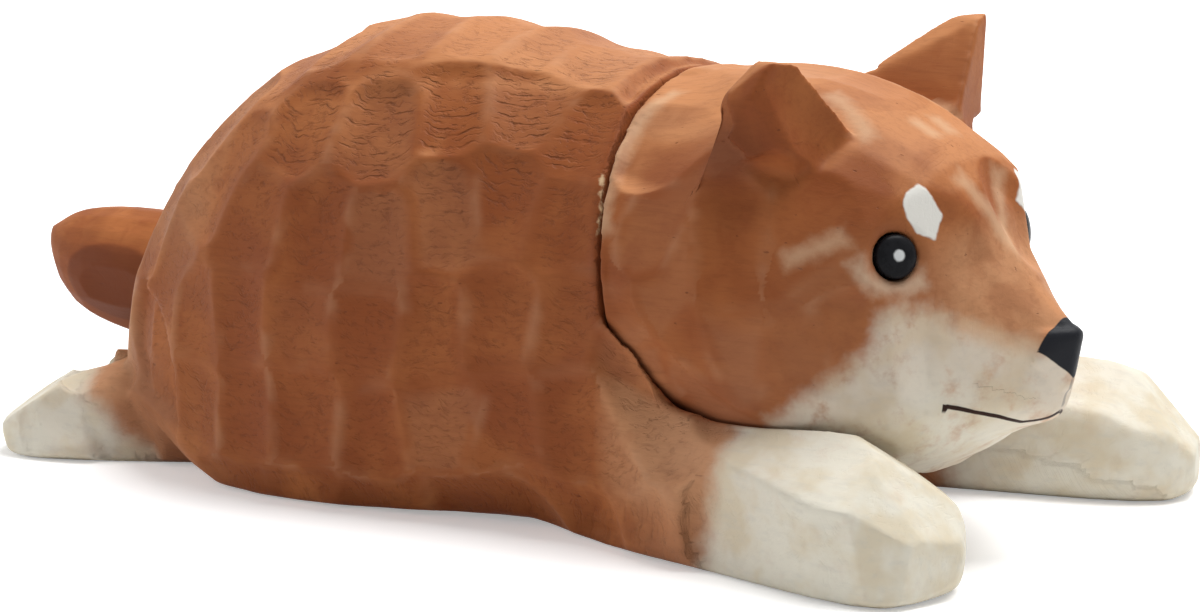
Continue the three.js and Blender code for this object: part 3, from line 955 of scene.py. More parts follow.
STAIN_DEEP: Rgb = (0.30, 0.092, 0.029)
STAIN_WARM: Rgb = (0.41, 0.14, 0.046)
RED_STAIN_AND_SHADE: Rgb = (0.25, 0.066, 0.021)
LIT_TOP_STAIN: Rgb = (0.56, 0.245, 0.105)
THIN_STAIN_AND_LIGHT: Rgb = (0.58, 0.29, 0.145)
STAIN_PALE: Rgb = (0.56, 0.31, 0.18)
DARK_STAIN_AND_SHADE: Rgb = (0.12, 0.034, 0.015)
PAINT_WHITE: Rgb = (0.77, 0.73, 0.62)
PAINT_CREAM: Rgb = (0.70, 0.62, 0.47)
PAINT_GREY: Rgb = (0.58, 0.56, 0.50)
PAINT_SPOT: Rgb = (0.82, 0.80, 0.74)
RAW_WOOD: Rgb = (0.66, 0.46, 0.27)
RUBBED_WOOD: Rgb = (0.68, 0.46, 0.29)
RIM_WEAR_AND_HIGHLIGHT: Rgb = (0.68, 0.52, 0.37)
NOSE_BLACK: Rgb = (0.016, 0.017, 0.021)
MOUTH_BROWN: Rgb = (0.03, 0.013, 0.009)
CREASE_GREY: Rgb = (0.2, 0.19, 0.18)
WHITE: Rgb = (1.0, 1.0, 1.0)


# Finishes

def shaded_stained_wood_group() -> bpy.types.NodeTree:
    """Brown stain over gouged, close-grained wood, with painted light and shade.

    Returns:
        The group.
    """
    b, given, made = new_group(
        "shaded_stained_wood",
        {"Place": VECTOR, "Ridge": FLOAT, "Side": FLOAT, "Across": FLOAT, "Along": FLOAT, "Tone": FLOAT,
         "Upward": FLOAT, "Shade_And_Stain": FLOAT, "Rasp": FLOAT},
        {"Colour": COLOUR, "Height": FLOAT, "Roughness": FLOAT},
    )
    place, ridge, side, across, along, tone, upward, shade_and_stain, rasp, *_ = given.outputs
    inner = b.ramp(ridge, 0.1, 1.3)
    # the stain took more or less in broad patches
    cloud = b.ramp(b.noise(place, 0.1, 2.0, 0.5, 0.5), 0.36, 0.64)
    colour = b.mix(cloud, STAIN_DEEP, STAIN_WARM)
    patch = b.ramp(b.noise(place, 0.26, 3.0, 0.6, 0.4), 0.46, 0.68)
    colour = b.mix(b.times(patch, 0.5), colour, RED_STAIN_AND_SHADE)
    # darker where the stored value is high: deeper stain and painted shade, with painted dark shade past
    # one; lighter where it is below zero: thin stain and painted light
    colour = b.mix(b.times(shade_and_stain, b.blend(cloud, 0.75, 0.45), True), colour, RED_STAIN_AND_SHADE)
    colour = b.mix(b.ramp(shade_and_stain, 1.0, 2.0, 0.0, 0.6), colour, DARK_STAIN_AND_SHADE)
    thin = b.times(shade_and_stain, b.blend(patch, -1.0, -0.6), True)
    colour = b.mix(thin, colour, THIN_STAIN_AND_LIGHT)
    # faces turned up are painted lighter: partly stain rubbed off the top, partly a painted sheen of the
    # light from above
    top = b.plus(upward, b.times(b.math("SUBTRACT", cloud, 0.5), 0.2))
    colour = b.mix(b.ramp(top, 0.6, 1.0, 0.0, 0.85), colour, LIT_TOP_STAIN)
    # each cut took the stain a little differently
    colour = b.mix(b.times(inner, b.ramp(tone, 0.55, 1.0, 0.0, 0.16)), colour, STAIN_PALE)
    colour = b.mix(b.times(inner, b.ramp(tone, 0.0, 0.45, 0.3, 0.0)), colour, RED_STAIN_AND_SHADE)
    # fine fibres along the block and a little wear between them
    fibre = b.noise(b.stretch(place, (0.3, 1.9, 2.4)), 1.0, 4.0, 0.65, 0.6)
    colour = b.mix(b.ramp(fibre, 0.42, 0.75, 0.0, 0.2), colour, DARK_STAIN_AND_SHADE)
    # chatter of the tool, in fine arcs across the stroke
    bow = b.times(b.times(across, across), 0.05)
    drift = b.times(b.noise(place, 0.3, 2.0), 2.2)
    beat = b.plus(b.plus(along, bow), drift)
    beat = b.plus(beat, b.times(b.noise(place, 1.1, 2.0), 0.5))
    wave = b.math("SINE", b.times(beat, 8.8))
    lines = b.join(b.times(across, 0.35), b.times(beat, 1.1), b.times(tone, 9.0))
    ragged = b.plus(b.noise(lines, 1.0, 2.0, 0.6), b.times(rasp, 0.05))
    torn = b.times(b.ramp(wave, 0.1, 1.0), b.ramp(ragged, 0.5, 0.7))
    where = b.times(b.ramp(b.noise(place, 0.12, 2.0), 0.4, 0.58), b.ramp(tone, 0.1, 0.5, 0.5, 1.0))
    where = b.times(b.math("MAXIMUM", where, rasp), rasp)
    torn = b.times(torn, b.times(where, inner))
    colour = b.mix(b.times(torn, 0.34), colour, DARK_STAIN_AND_SHADE)
    # small chips between the arcs, wherever the wood was dry
    flecks = b.noise(b.join(b.times(across, 0.9), b.times(beat, 1.9), tone), 1.0, 3.0, 0.7)
    chip = b.times(b.ramp(flecks, 0.5, 0.7), b.ramp(rasp, 0.0, 0.5))
    chip = b.times(chip, inner)
    colour = b.mix(b.times(chip, 0.3), colour, DARK_STAIN_AND_SHADE)
    # ridges left by the sides of the gouge are rubbed pale here and there
    soft = b.plus(ridge, b.times(b.noise(place, 0.8, 2.0), 0.6))
    rub = b.ramp(soft, 0.1, 1.6, 1.0, 0.0)
    rub = b.times(rub, b.ramp(b.noise(place, 0.16, 2.0), 0.46, 0.62, 0.1, 1.0))
    rub = b.times(rub, b.ramp(side, 0.5, 0.9, 0.35, 1.0))
    colour = b.mix(b.times(rub, 0.27), colour, STAIN_PALE)
    # small dark pores
    pore = b.ramp(b.noise(b.stretch(place, (0.8, 2.4, 2.6)), 0.9, 2.0, 0.4), 0.74, 0.8)
    colour = b.mix(b.times(pore, 0.5), colour, DARK_STAIN_AND_SHADE)
    height = b.plus(b.times(fibre, 0.25), b.times(torn, -1.3))
    height = b.plus(height, b.times(chip, -0.6))
    height = b.plus(height, b.times(pore, -0.4))
    b.put(colour, made.inputs["Colour"])
    b.put(height, made.inputs["Height"])
    b.put(b.blend(cloud, 0.5, 0.6), made.inputs["Roughness"])
    return b.tree


def white_paint_group() -> bpy.types.NodeTree:
    """Thin brushed white paint with the wood showing faintly through.

    Returns:
        The group.
    """
    b, given, made = new_group(
        "white_paint",
        {"Place": VECTOR, "Wood": COLOUR, "Relief": FLOAT, "Edge": FLOAT, "Fade": FLOAT, "Wear": FLOAT,
         "Wash": FLOAT},
        {"Colour": COLOUR, "Height": FLOAT, "Cover": FLOAT},
    )
    place, under, relief, painted, fade, wear, washed, *_ = given.outputs
    ragged = b.wobble(place, 0.4, 3.0, 2.6, 0.6)
    edge = b.math("DIVIDE", b.plus(painted, ragged), fade)
    cover = b.ramp(edge, -0.5, 0.5)
    near = b.ramp(b.plus(painted, b.times(ragged, 1.6)), -13.0, 0.0)
    wood = b.mix(b.times(near, washed), under, STAIN_PALE)
    streak = b.noise(b.stretch(place, (0.3, 1.3, 1.3)), 1.0, 3.0, 0.6)
    tint = b.mix(b.ramp(b.noise(place, 0.2, 3.0), 0.4, 0.64), PAINT_WHITE, PAINT_CREAM)
    tint = b.mix(b.ramp(streak, 0.45, 0.8, 0.0, 0.35), tint, PAINT_GREY)
    # washed thin near the stain and over the worn places
    wash = b.ramp(edge, 0.4, 3.4, 0.42, 0.0)
    thin = b.times(wear, b.ramp(b.noise(place, 0.34, 4.0, 0.65), 0.48, 0.78))
    bare = b.plus(b.times(wash, wear), thin)
    cover_thin = b.times(cover, b.math("SUBTRACT", 1.0, bare, clamp=True))
    colour = b.mix(cover_thin, wood, tint)
    veiled = b.math("SUBTRACT", 1.0, b.times(cover, 0.6))
    height = b.times(relief, veiled)
    height = b.plus(height, b.times(streak, 0.15))
    b.put(colour, made.inputs["Colour"])
    b.put(height, made.inputs["Height"])
    b.put(cover, made.inputs["Cover"])
    return b.tree


class Groups:
    """Node groups shared by the finishes, each made once."""

    def __init__(self) -> None:
        """Builds the groups."""
        self.shaded_stained_wood = shaded_stained_wood_group()
        self.white_paint = white_paint_group()


@dataclass(frozen=True)
class CarvedFinish:
    """Stain, paint, bare specks and painted light and shade on a carved block.

    Attributes:
        GLOSS: strength of its reflections.
        RELIEF: how much of its relief shows, and how high that is in metres.
        PAINTED: roughness of the white paint.
        WORN: how much the rubbed places and the painted highlight on the far eye's rim show, and their
            colours, by mesh value.
        LINE_HALF: half the width of the painted lines, by mesh value.
        name: material name.
        groups: the shared node groups.
        fade: width of the white paint's soft edge.
        wear: how much wood shows through the white, 0 to 1.
        wash: how far the stain is thinned beside the white, 0 to 1.
        lift: how much sooner than straight up a face is painted lighter, as rubbed stain and painted light
            from above.
        marks: whether the marks of the head are painted.
    """

    GLOSS: ClassVar[float] = 0.08
    RELIEF: ClassVar[Flat] = (0.9, 0.00012)
    PAINTED: ClassVar[float] = 0.55
    WORN: ClassVar[dict[str, tuple[float, Rgb]]] = {"rim": (0.6, RIM_WEAR_AND_HIGHLIGHT), "pale": (0.5, RUBBED_WOOD)}
    LINE_HALF: ClassVar[dict[str, float]] = {"lip": 0.22, "mouth": 0.21}

    name: str
    groups: Groups
    fade: float
    wear: float
    wash: float = 0.0
    lift: float = 0.0
    marks: bool = False

    def build(self) -> bpy.types.Material:
        """Makes the material.

        Returns:
            The material.
        """
        material, b, shader = new_finish(self.name)
        place = b.millimetres()
        wood = b.add("ShaderNodeGroup", node_tree=self.groups.shaded_stained_wood)
        b.put(place, wood.inputs["Place"])
        for label in ("Ridge", "Side", "Across", "Along", "Tone", "Shade_And_Stain", "Rasp"):
            b.put(b.value_of(label.lower()), wood.inputs[label])
        b.put(b.plus(b.value_of("upward"), self.lift), wood.inputs["Upward"])
        paint = b.add("ShaderNodeGroup", node_tree=self.groups.white_paint)
        b.put(place, paint.inputs["Place"])
        b.put(wood.outputs["Colour"], paint.inputs["Wood"])
        b.put(wood.outputs["Height"], paint.inputs["Relief"])
        b.put(b.value_of("white_edge"), paint.inputs["Edge"])
        paint.inputs["Fade"].default_value = self.fade
        paint.inputs["Wear"].default_value = self.wear
        paint.inputs["Wash"].default_value = self.wash
        colour, height = paint.outputs["Colour"], paint.outputs["Height"]
        rough = b.blend(paint.outputs["Cover"], wood.outputs["Roughness"], self.PAINTED)
        speckle = b.times(b.noise(place, 1.6, 3.0), 1.2)
        bare = b.ramp(b.plus(b.value_of("bare_edge"), speckle), 0.35, 0.8)
        colour = b.mix(bare, colour, RAW_WOOD)
        if self.marks:
            colour, rough, height = self._marks(b, place, (colour, rough, height))
        b.put(colour, shader.inputs["Base Color"])
        b.put(rough, shader.inputs["Roughness"])
        b.put(b.bump(height, *self.RELIEF), shader.inputs["Normal"])
        shader.inputs["Specular IOR Level"].default_value = self.GLOSS
        return material

    def _marks(self, b: Nodes, place: Feed, under: tuple[Feed, Feed, Feed]) -> tuple[Feed, Feed, Feed]:
        """Adds brow spots, rubbed places with the painted highlight on the far eye's rim, mouth and nose.

        Args:
            b: the material's builder.
            place: the coordinates, in millimetres.
            under: colour, roughness and height below the marks.

        Returns:
            Colour, roughness and height with them.
        """
        colour, rough, height = under
        wobble = b.wobble(place, 0.7, 2.0, 0.4)
        patchy = b.wobble(place, 0.7, 3.0, 1.3, 0.6)
        # rubbed places, and the rim under the far eye painted pale as wear and as a highlight on its edge
        for stored, (share, tint) in self.WORN.items():
            worn = b.ramp(b.plus(b.value_of(stored + "_edge"), patchy), -0.9, 0.8)
            colour = b.mix(b.times(worn, share), colour, tint)
        speck = b.ramp(b.plus(b.value_of("speck_edge"), wobble), -0.1, 0.25)
        colour = b.mix(b.times(speck, 0.8), colour, DARK_STAIN_AND_SHADE)
        spot = b.ramp(b.plus(b.value_of("brow_edge"), wobble), -0.12, 0.12)
        colour = b.mix(spot, colour, PAINT_SPOT)
        colour = b.mix(b.times(self._line(b, "lip", wobble), 0.55), colour, CREASE_GREY)
        line = self._line(b, "mouth", wobble)
        colour = b.mix(line, colour, MOUTH_BROWN)
        nose = b.ramp(b.plus(b.value_of("nose_edge"), b.times(wobble, 0.4)), -0.07, 0.07)
        colour = b.mix(nose, colour, NOSE_BLACK)
        black = b.math("MAXIMUM", nose, line)
        height = b.plus(height, b.times(spot, 0.5))
        return colour, b.blend(black, rough, 0.4), b.plus(height, b.times(black, 0.35))

    def _line(self, b: Nodes, stored: str, wobble: Feed) -> bpy.types.NodeSocket:
        """A brushed line that swells and thins a little.

        Args:
            b: the material's builder.
            stored: the line's name.
            wobble: the unevenness of the hand.

        Returns:
            How much the line covers.
        """
        width = b.plus(b.times(wobble, 0.3), self.LINE_HALF[stored])
        inside = b.math("SUBTRACT", width, b.math("ABSOLUTE", b.value_of(stored + "_side")))
        return b.times(b.ramp(inside, -0.06, 0.06), b.ramp(b.value_of(stored + "_reach"), -0.1, 0.25))


@dataclass(frozen=True)
class BareWoodFinish:
    """Plain turned hardwood, as on the hidden dowels.

    Attributes:
        name: material name.
        pale: colour between the fibres.
        dark: colour of the fibres.
    """

    name: str
    pale: Rgb = RAW_WOOD
    dark: Rgb = (0.48, 0.30, 0.16)

    def build(self) -> bpy.types.Material:
        """Makes the material.

        Returns:
            The material.
        """
        material, b, shader = new_finish(self.name)
        grain = b.noise(b.stretch(b.millimetres(), (0.3, 3.0, 3.0)), 1.0, 4.0, 0.6, 0.5)
        b.put(b.mix(b.ramp(grain, 0.3, 0.7), self.pale, self.dark), shader.inputs["Base Color"])
        b.put(b.ramp(grain, 0.3, 0.7, 0.55, 0.7), shader.inputs["Roughness"])
        b.put(b.bump(grain, 0.6, 0.0001), shader.inputs["Normal"])
        return material


@dataclass(frozen=True)
class BeadFinish:
    """Glossy black eye bead with a small painted white dot.

    Attributes:
        GLOSS: strength of its reflections.
        name: material name.
        dot_radius: radius of the dot.
        dot_shift: from the front of the bead to the middle of the dot.
        black: colour where it is darkest.
        haze: colour where it is dull.
        dot: colour of the dot.
    """

    GLOSS: ClassVar[float] = 0.06

    name: str
    dot_radius: float
    dot_shift: Point
    black: Rgb = (0.0075, 0.0075, 0.009)
    haze: Rgb = (0.012, 0.012, 0.014)
    dot: Rgb = (0.62, 0.64, 0.64)

    def build(self) -> bpy.types.Material:
        """Makes the material.

        Returns:
            The material.
        """
        material, b, shader = new_finish(self.name)
        place = b.millimetres()
        dot = b.ramp(b.plus(b.value_of("dot_edge"), b.wobble(place, 1.4, 2.0, 0.25)), -0.12, 0.12)
        haze = b.noise(place, 0.7, 3.0)
        black = b.mix(b.ramp(haze, 0.4, 0.7), self.black, self.haze)
        b.put(b.mix(dot, black, self.dot), shader.inputs["Base Color"])
        b.put(b.blend(dot, b.ramp(haze, 0.3, 0.7, 0.22, 0.32), 0.45), shader.inputs["Roughness"])
        b.put(b.bump(b.plus(dot, b.times(haze, 0.15)), 0.5, 0.00005), shader.inputs["Normal"])
        shader.inputs["Specular IOR Level"].default_value = self.GLOSS
        return material


# Carved blocks

@dataclass
class CarvedBlock:
    """A block of wood that replaces one CAD node.

    Attributes:
        finish: its finish.
        node: the CAD node.
        slot: the material slot of the record; not used here.
        neighbours: nodes that it meets, and how far from each its cuts are whole.
        voxel: spacing of its vertices.
        rounds: rounds of smoothing before it is carved.
        sanding: rounds of smoothing after that.
        seed: seed for the hand's unevenness.
        wander: how far a mirrored cut strays from its twin.
        rows: rows of cuts.
        hollows: single cuts made after them.
        soft: middles and radii of places where edges were sanded soft.
        stain: zones that make up the depth of the stain and of the painted light and shade.
        chatter: zones that make up the chatter of the tool.
        underside: heights between which the cuts start.
        joint: distance from a neighbour up to which nothing is cut.
        surface: the CAD surface.
    """

    finish: CarvedFinish
    node: str
    slot: str
    neighbours: tuple[tuple[str, float], ...]
    voxel: float
    rounds: int = 1
    sanding: int = 1
    seed: int = 1
    wander: float = 0.8
    rows: tuple[CutRow, ...] = ()
    hollows: tuple[Hollow, ...] = ()
    soft: tuple[tuple[Point, float], ...] = ()
    stain: tuple[Zone, ...] = ()
    chatter: tuple[Zone, ...] = (Zone(0.1),)
    underside: Flat = (0.2, 0.8)
    joint: float = 0.45
    surface: Surface = field(init=False)

    def __post_init__(self) -> None:
        """Reads the CAD surface."""
        self.surface = Surface.of_node(self.node)

    def own(self, points: np.ndarray) -> np.ndarray:
        """Points in the frame that the block's sizes are given in."""
        return points

    def back(self, points: np.ndarray) -> np.ndarray:
        """Points from that frame to the carving frame."""
        return points

    def hold(self, points: np.ndarray) -> np.ndarray:
        """Finds how much of each cut is made: nothing at the joints and on the underside.

        Args:
            points: the vertices.

        Returns:
            The share at each vertex.
        """
        share = smoothstep(*self.underside, points[:, 2])
        for node, fade in self.neighbours:
            share *= smoothstep(self.joint, fade, Surface.of_node(node).distances(points, fade))
        return share

    def paint(self, mesh: bpy.types.Mesh, points: np.ndarray, normals: np.ndarray) -> None:
        """Stores the painted edges. A plain block has none.

        Args:
            mesh: the mesh, which is changed.
            points: the vertices in the block's own frame.
            normals: their normals; not used here.
        """
        write_value(mesh, "white_edge", np.full(len(points), -FAR))
        write_value(mesh, "bare_edge", np.full(len(points), -FAR))

    def shade_and_stain_depth(self, points: np.ndarray) -> np.ndarray:
        """How dark the stain and the painted shade are, from -1 where the stain is thin and painted light to
        2.
        """
        return zoned(points, self.stain)

    def _dig(self, mesh: bpy.types.Mesh, carved: np.ndarray) -> np.ndarray:
        """Digs the single hollows.

        Args:
            mesh: the mesh, which gives the normals.
            carved: its vertices.

        Returns:
            The new vertices.
        """
        for hollow in self.hollows:
            write_points(mesh, carved)
            faced = self.own(carved + read_vectors(mesh, "normal")) - self.own(carved)
            carved = self.back(hollow.dig(self.own(carved), faced))
        return carved

    def build(self) -> bpy.types.Object:
        """Meshes, carves and paints the block.

        Returns:
            The piece.
        """
        mesh = voxel_mesh(self.surface, self.voxel, self.node + "_carved")
        soft = tuple((tuple(self.back(np.array(middle))), radius) for middle, radius in self.soft)
        sand(mesh, self.rounds, soft)
        points = read_vectors(mesh, "co")
        normals = self.own(points + read_vectors(mesh, "normal")) - self.own(points)
        carver = Carver(self.own(points), normals, self.seed, self.wander)
        for row in self.rows:
            carver.add(row)
        cuts = carver.cut(self.voxel)
        moved = self.back(cuts.points) - points
        write_points(mesh, self._dig(mesh, points + moved * self.hold(points)[:, None]))
        sand(mesh, self.sanding)
        carved = read_vectors(mesh, "co")
        own = self.own(carved)
        write_value(mesh, "upward", read_vectors(mesh, "normal")[:, 2])
        for stored in ("ridge", "side", "across", "along", "tone"):
            write_value(mesh, stored, getattr(cuts, stored))
        write_value(mesh, "shade_and_stain", self.shade_and_stain_depth(own))
        write_value(mesh, "rasp", zoned(own, self.chatter))
        self.paint(mesh, own, normals)
        low, high = (np.array(corner) for corner in CAD_BOX)
        write_points(mesh, np.clip(to_metres(carved), low, high))
        return add_piece(mesh, self.node, self.finish.build())


@dataclass
class BodyBlock(CarvedBlock):
    """Torso and four legs, cut from one block.

    Attributes:
        OUT: the way a tool travels down the crest.
        HEEL_TOP: the pared top of the near hind paw.
        SEAM: where bare specks show along the neck seam.
        seam_shade: distances from the head between which the stain is painted darker towards the seam, as
            shade in the seam.
        seam_dark: how much darker that painted shade makes it.
        fore_white: where the white of the near and of the far front paw begins.
        fore_lean: how far that moves forwards per millimetre up.
        fore_height: height at which it is given.
        hind_white: where the white of the hind paws begins.
        hind_slant: how far that moves backwards per millimetre up.
        heel: height at which it is given.
        speck_half: half the width of the bare specks.
    """

    OUT: ClassVar[Point] = (0.0, -1.0, -0.2)
    HEEL_TOP: ClassVar[Hollow] = Hollow(
        (-59.3, -16.6, 7.2), (-0.47, -0.29, 0.84), (0.6, 0.2, 0.4), Tool.PARED, 0.0
    )
    SEAM: ClassVar[tuple[Point, ...]] = (
        (10.6, -17.0, 33.6), (10.9, -17.8, 32.6), (11.4, -18.9, 30.3), (11.7, -19.6, 28.6)
    )

    node: str = "body_block"
    slot: str = "stained_body_wood"
    neighbours: tuple[tuple[str, float], ...] = (
        ("head_block", 1.3), ("tail_block", 3.6), ("neck_dowel", 1.3), ("tail_dowel", 1.3)
    )
    voxel: float = 0.475
    rounds: int = 3
    seed: int = 11
    rows: tuple[CutRow, ...] = (
        CutRow(((-29.1, -9.0, 41.5), (-23.8, -7.0, 44.0), (-17.0, -6.3, 45.2), (-10.0, -5.1, 45.2),
                (-3.0, -5.0, 44.2), (3.5, -4.7, 43.2), (9.5, -4.3, 42.6)), OUT, Tool.CREST),
        CutRow(((-22.7, -18.6, 36.0), (-13.8, -18.7, 36.0), (-6.3, -16.0, 38.5), (0.6, -13.9, 39.2),
                (6.6, -15.4, 36.8)), DOWN, Tool.FLANK),
        CutRow(((-26.6, -22.1, 27.4), (-18.4, -22.7, 26.7), (-11.0, -22.5, 26.0), (-4.2, -20.7, 29.2),
                (1.8, -19.6, 30.5), (7.2, -19.5, 29.8)), DOWN, Tool.FLANK),
        CutRow(((-33.3, -22.9, 16.6), (-26.7, -23.9, 17.6), (-19.4, -24.1, 16.8), (-12.4, -23.7, 17.2),
                (-5.2, -23.1, 18.0), (2.4, -22.2, 19.8), (9.4, -21.8, 20.4)), DOWN, Tool.FLANK),
        CutRow(((-33.0, -23.0, 8.0), (-25.8, -24.1, 8.2), (-18.6, -24.3, 8.4), (-11.2, -23.8, 8.4),
                (-4.0, -23.0, 9.0), (3.6, -22.3, 10.2), (10.6, -22.0, 11.1), (18.6, -21.2, 12.2)),
               DOWN, Tool.FLANK),
        CutRow(((-29.0, -23.1, 2.2), (-20.0, -23.4, 2.0), (-10.5, -22.6, 2.4), (-1.0, -20.8, 2.8),
                (8.0, -21.2, 3.4), (16.0, -22.2, 4.6)), FORWARD, Tool.FLANK),
        CutRow(((-32.8, -18.2, 31.4), (-38.4, -20.2, 21.4), (-39.8, -20.8, 14.0), (-40.4, -20.4, 7.5)),
               DOWN, Tool.RUMP),
        CutRow(((-36.8, -12.2, 35.0), (-42.8, -15.0, 25.6), (-45.5, -17.0, 15.8), (-46.0, -16.4, 8.0)),
               DOWN, Tool.RUMP),
        CutRow(((-43.0, -5.8, 33.0), (-48.6, -9.8, 23.4), (-50.0, -12.0, 15.6)), DOWN, Tool.RUMP),
        CutRow(((-34.8, 0.0, 40.4), (-41.6, 0.0, 35.6), (-47.4, 0.0, 29.8)), DOWN, Tool.RUMP, False),
        CutRow(((31.6, -22.8, 12.1), (38.0, -24.8, 11.2), (44.0, -24.9, 8.7), (32.7, -26.7, 5.3),
                (39.3, -28.0, 4.0), (44.2, -27.3, 4.2), (34.4, -15.2, 12.2), (42.0, -16.8, 11.0),
                (45.4, -21.4, 8.8), (47.0, -23.5, 4.2)), (1.0, -0.2, 0.0), Tool.PAW, False),
        CutRow(((34.4, 28.4, 12.1), (41.4, 30.5, 11.2), (47.8, 30.8, 8.7), (35.6, 32.4, 5.3),
                (42.8, 33.8, 4.0), (47.8, 33.2, 4.2), (37.2, 20.7, 12.2), (45.4, 22.5, 11.0),
                (49.1, 27.5, 8.8), (50.6, 28.5, 4.2)), (1.0, 0.2, 0.0), Tool.PAW, False),
        CutRow(((-58.0, -19.7, 6.0), (-52.4, -21.0, 4.3), (-57.5, -22.0, 3.0)), (1.0, 0.3, 0.0), Tool.HEEL),
    )
    hollows: tuple[Hollow, ...] = (HEEL_TOP, HEEL_TOP.twin())
    # the flank is darker; the upper rump and the front legs below the head are painted lighter, as sheen and
    # as light that reaches under the head; the tops of the hind paws are lighter
    stain: tuple[Zone, ...] = (
        Zone(1.0, x=((-34.0, -24.0), (16.0, 8.0)), z=((1.0, 6.0), (39.0, 30.0))),
        Zone(-0.4, x=((-31.0, -37.0),), z=((18.0, 28.0),)),
        Zone(-1.1, x=((-46.0, -50.0),), z=((4.0, 8.0),)),
        Zone(-0.75, x=((8.0, 15.0),), z=((20.0, 14.0), (3.0, 8.0))),
    )
    chatter: tuple[Zone, ...] = (
        Zone(0.35),
        Zone(0.65, x=((-32.0, -24.0), (9.0, 5.0)), z=((28.0, 33.0), (43.5, 41.0))),
    )
    seam_shade: Flat = (2.0, 0.7)
    seam_dark: float = 0.8
    fore_white: Flat = (26.0, 31.0)
    fore_lean: float = 0.12
    fore_height: float = 8.0
    hind_white: float = -51.0
    hind_slant: float = 1.1
    heel: float = 6.6
    speck_half: float = 0.1

    def shade_and_stain_depth(self, points: np.ndarray) -> np.ndarray:
        """Adds painted shade beside the neck seam to the zones."""
        gap = Surface.of_node("head_block").distances(points, self.seam_shade[0])
        return super().shade_and_stain_depth(points) + self.seam_dark * smoothstep(*self.seam_shade, gap)

    def paint(self, mesh: bpy.types.Mesh, points: np.ndarray, normals: np.ndarray) -> None:
        """White paws in front and behind, and bare specks along the neck seam.

        Args:
            mesh: the mesh, which is changed.
            points: the vertices.
            normals: their normals.
        """
        x, y, z = points.T
        fore = x - np.where(y < 0, *self.fore_white) - self.fore_lean * (z - self.fore_height)
        hind = self.hind_white - x - self.hind_slant * (z - self.heel)
        write_value(mesh, "white_edge", np.maximum(fore, hind / math.hypot(1.0, self.hind_slant)))
        side, reach = line_place(points, normals, snapped(self.SEAM, self.surface))
        write_value(mesh, "bare_edge", np.minimum(self.speck_half - np.abs(side), reach))


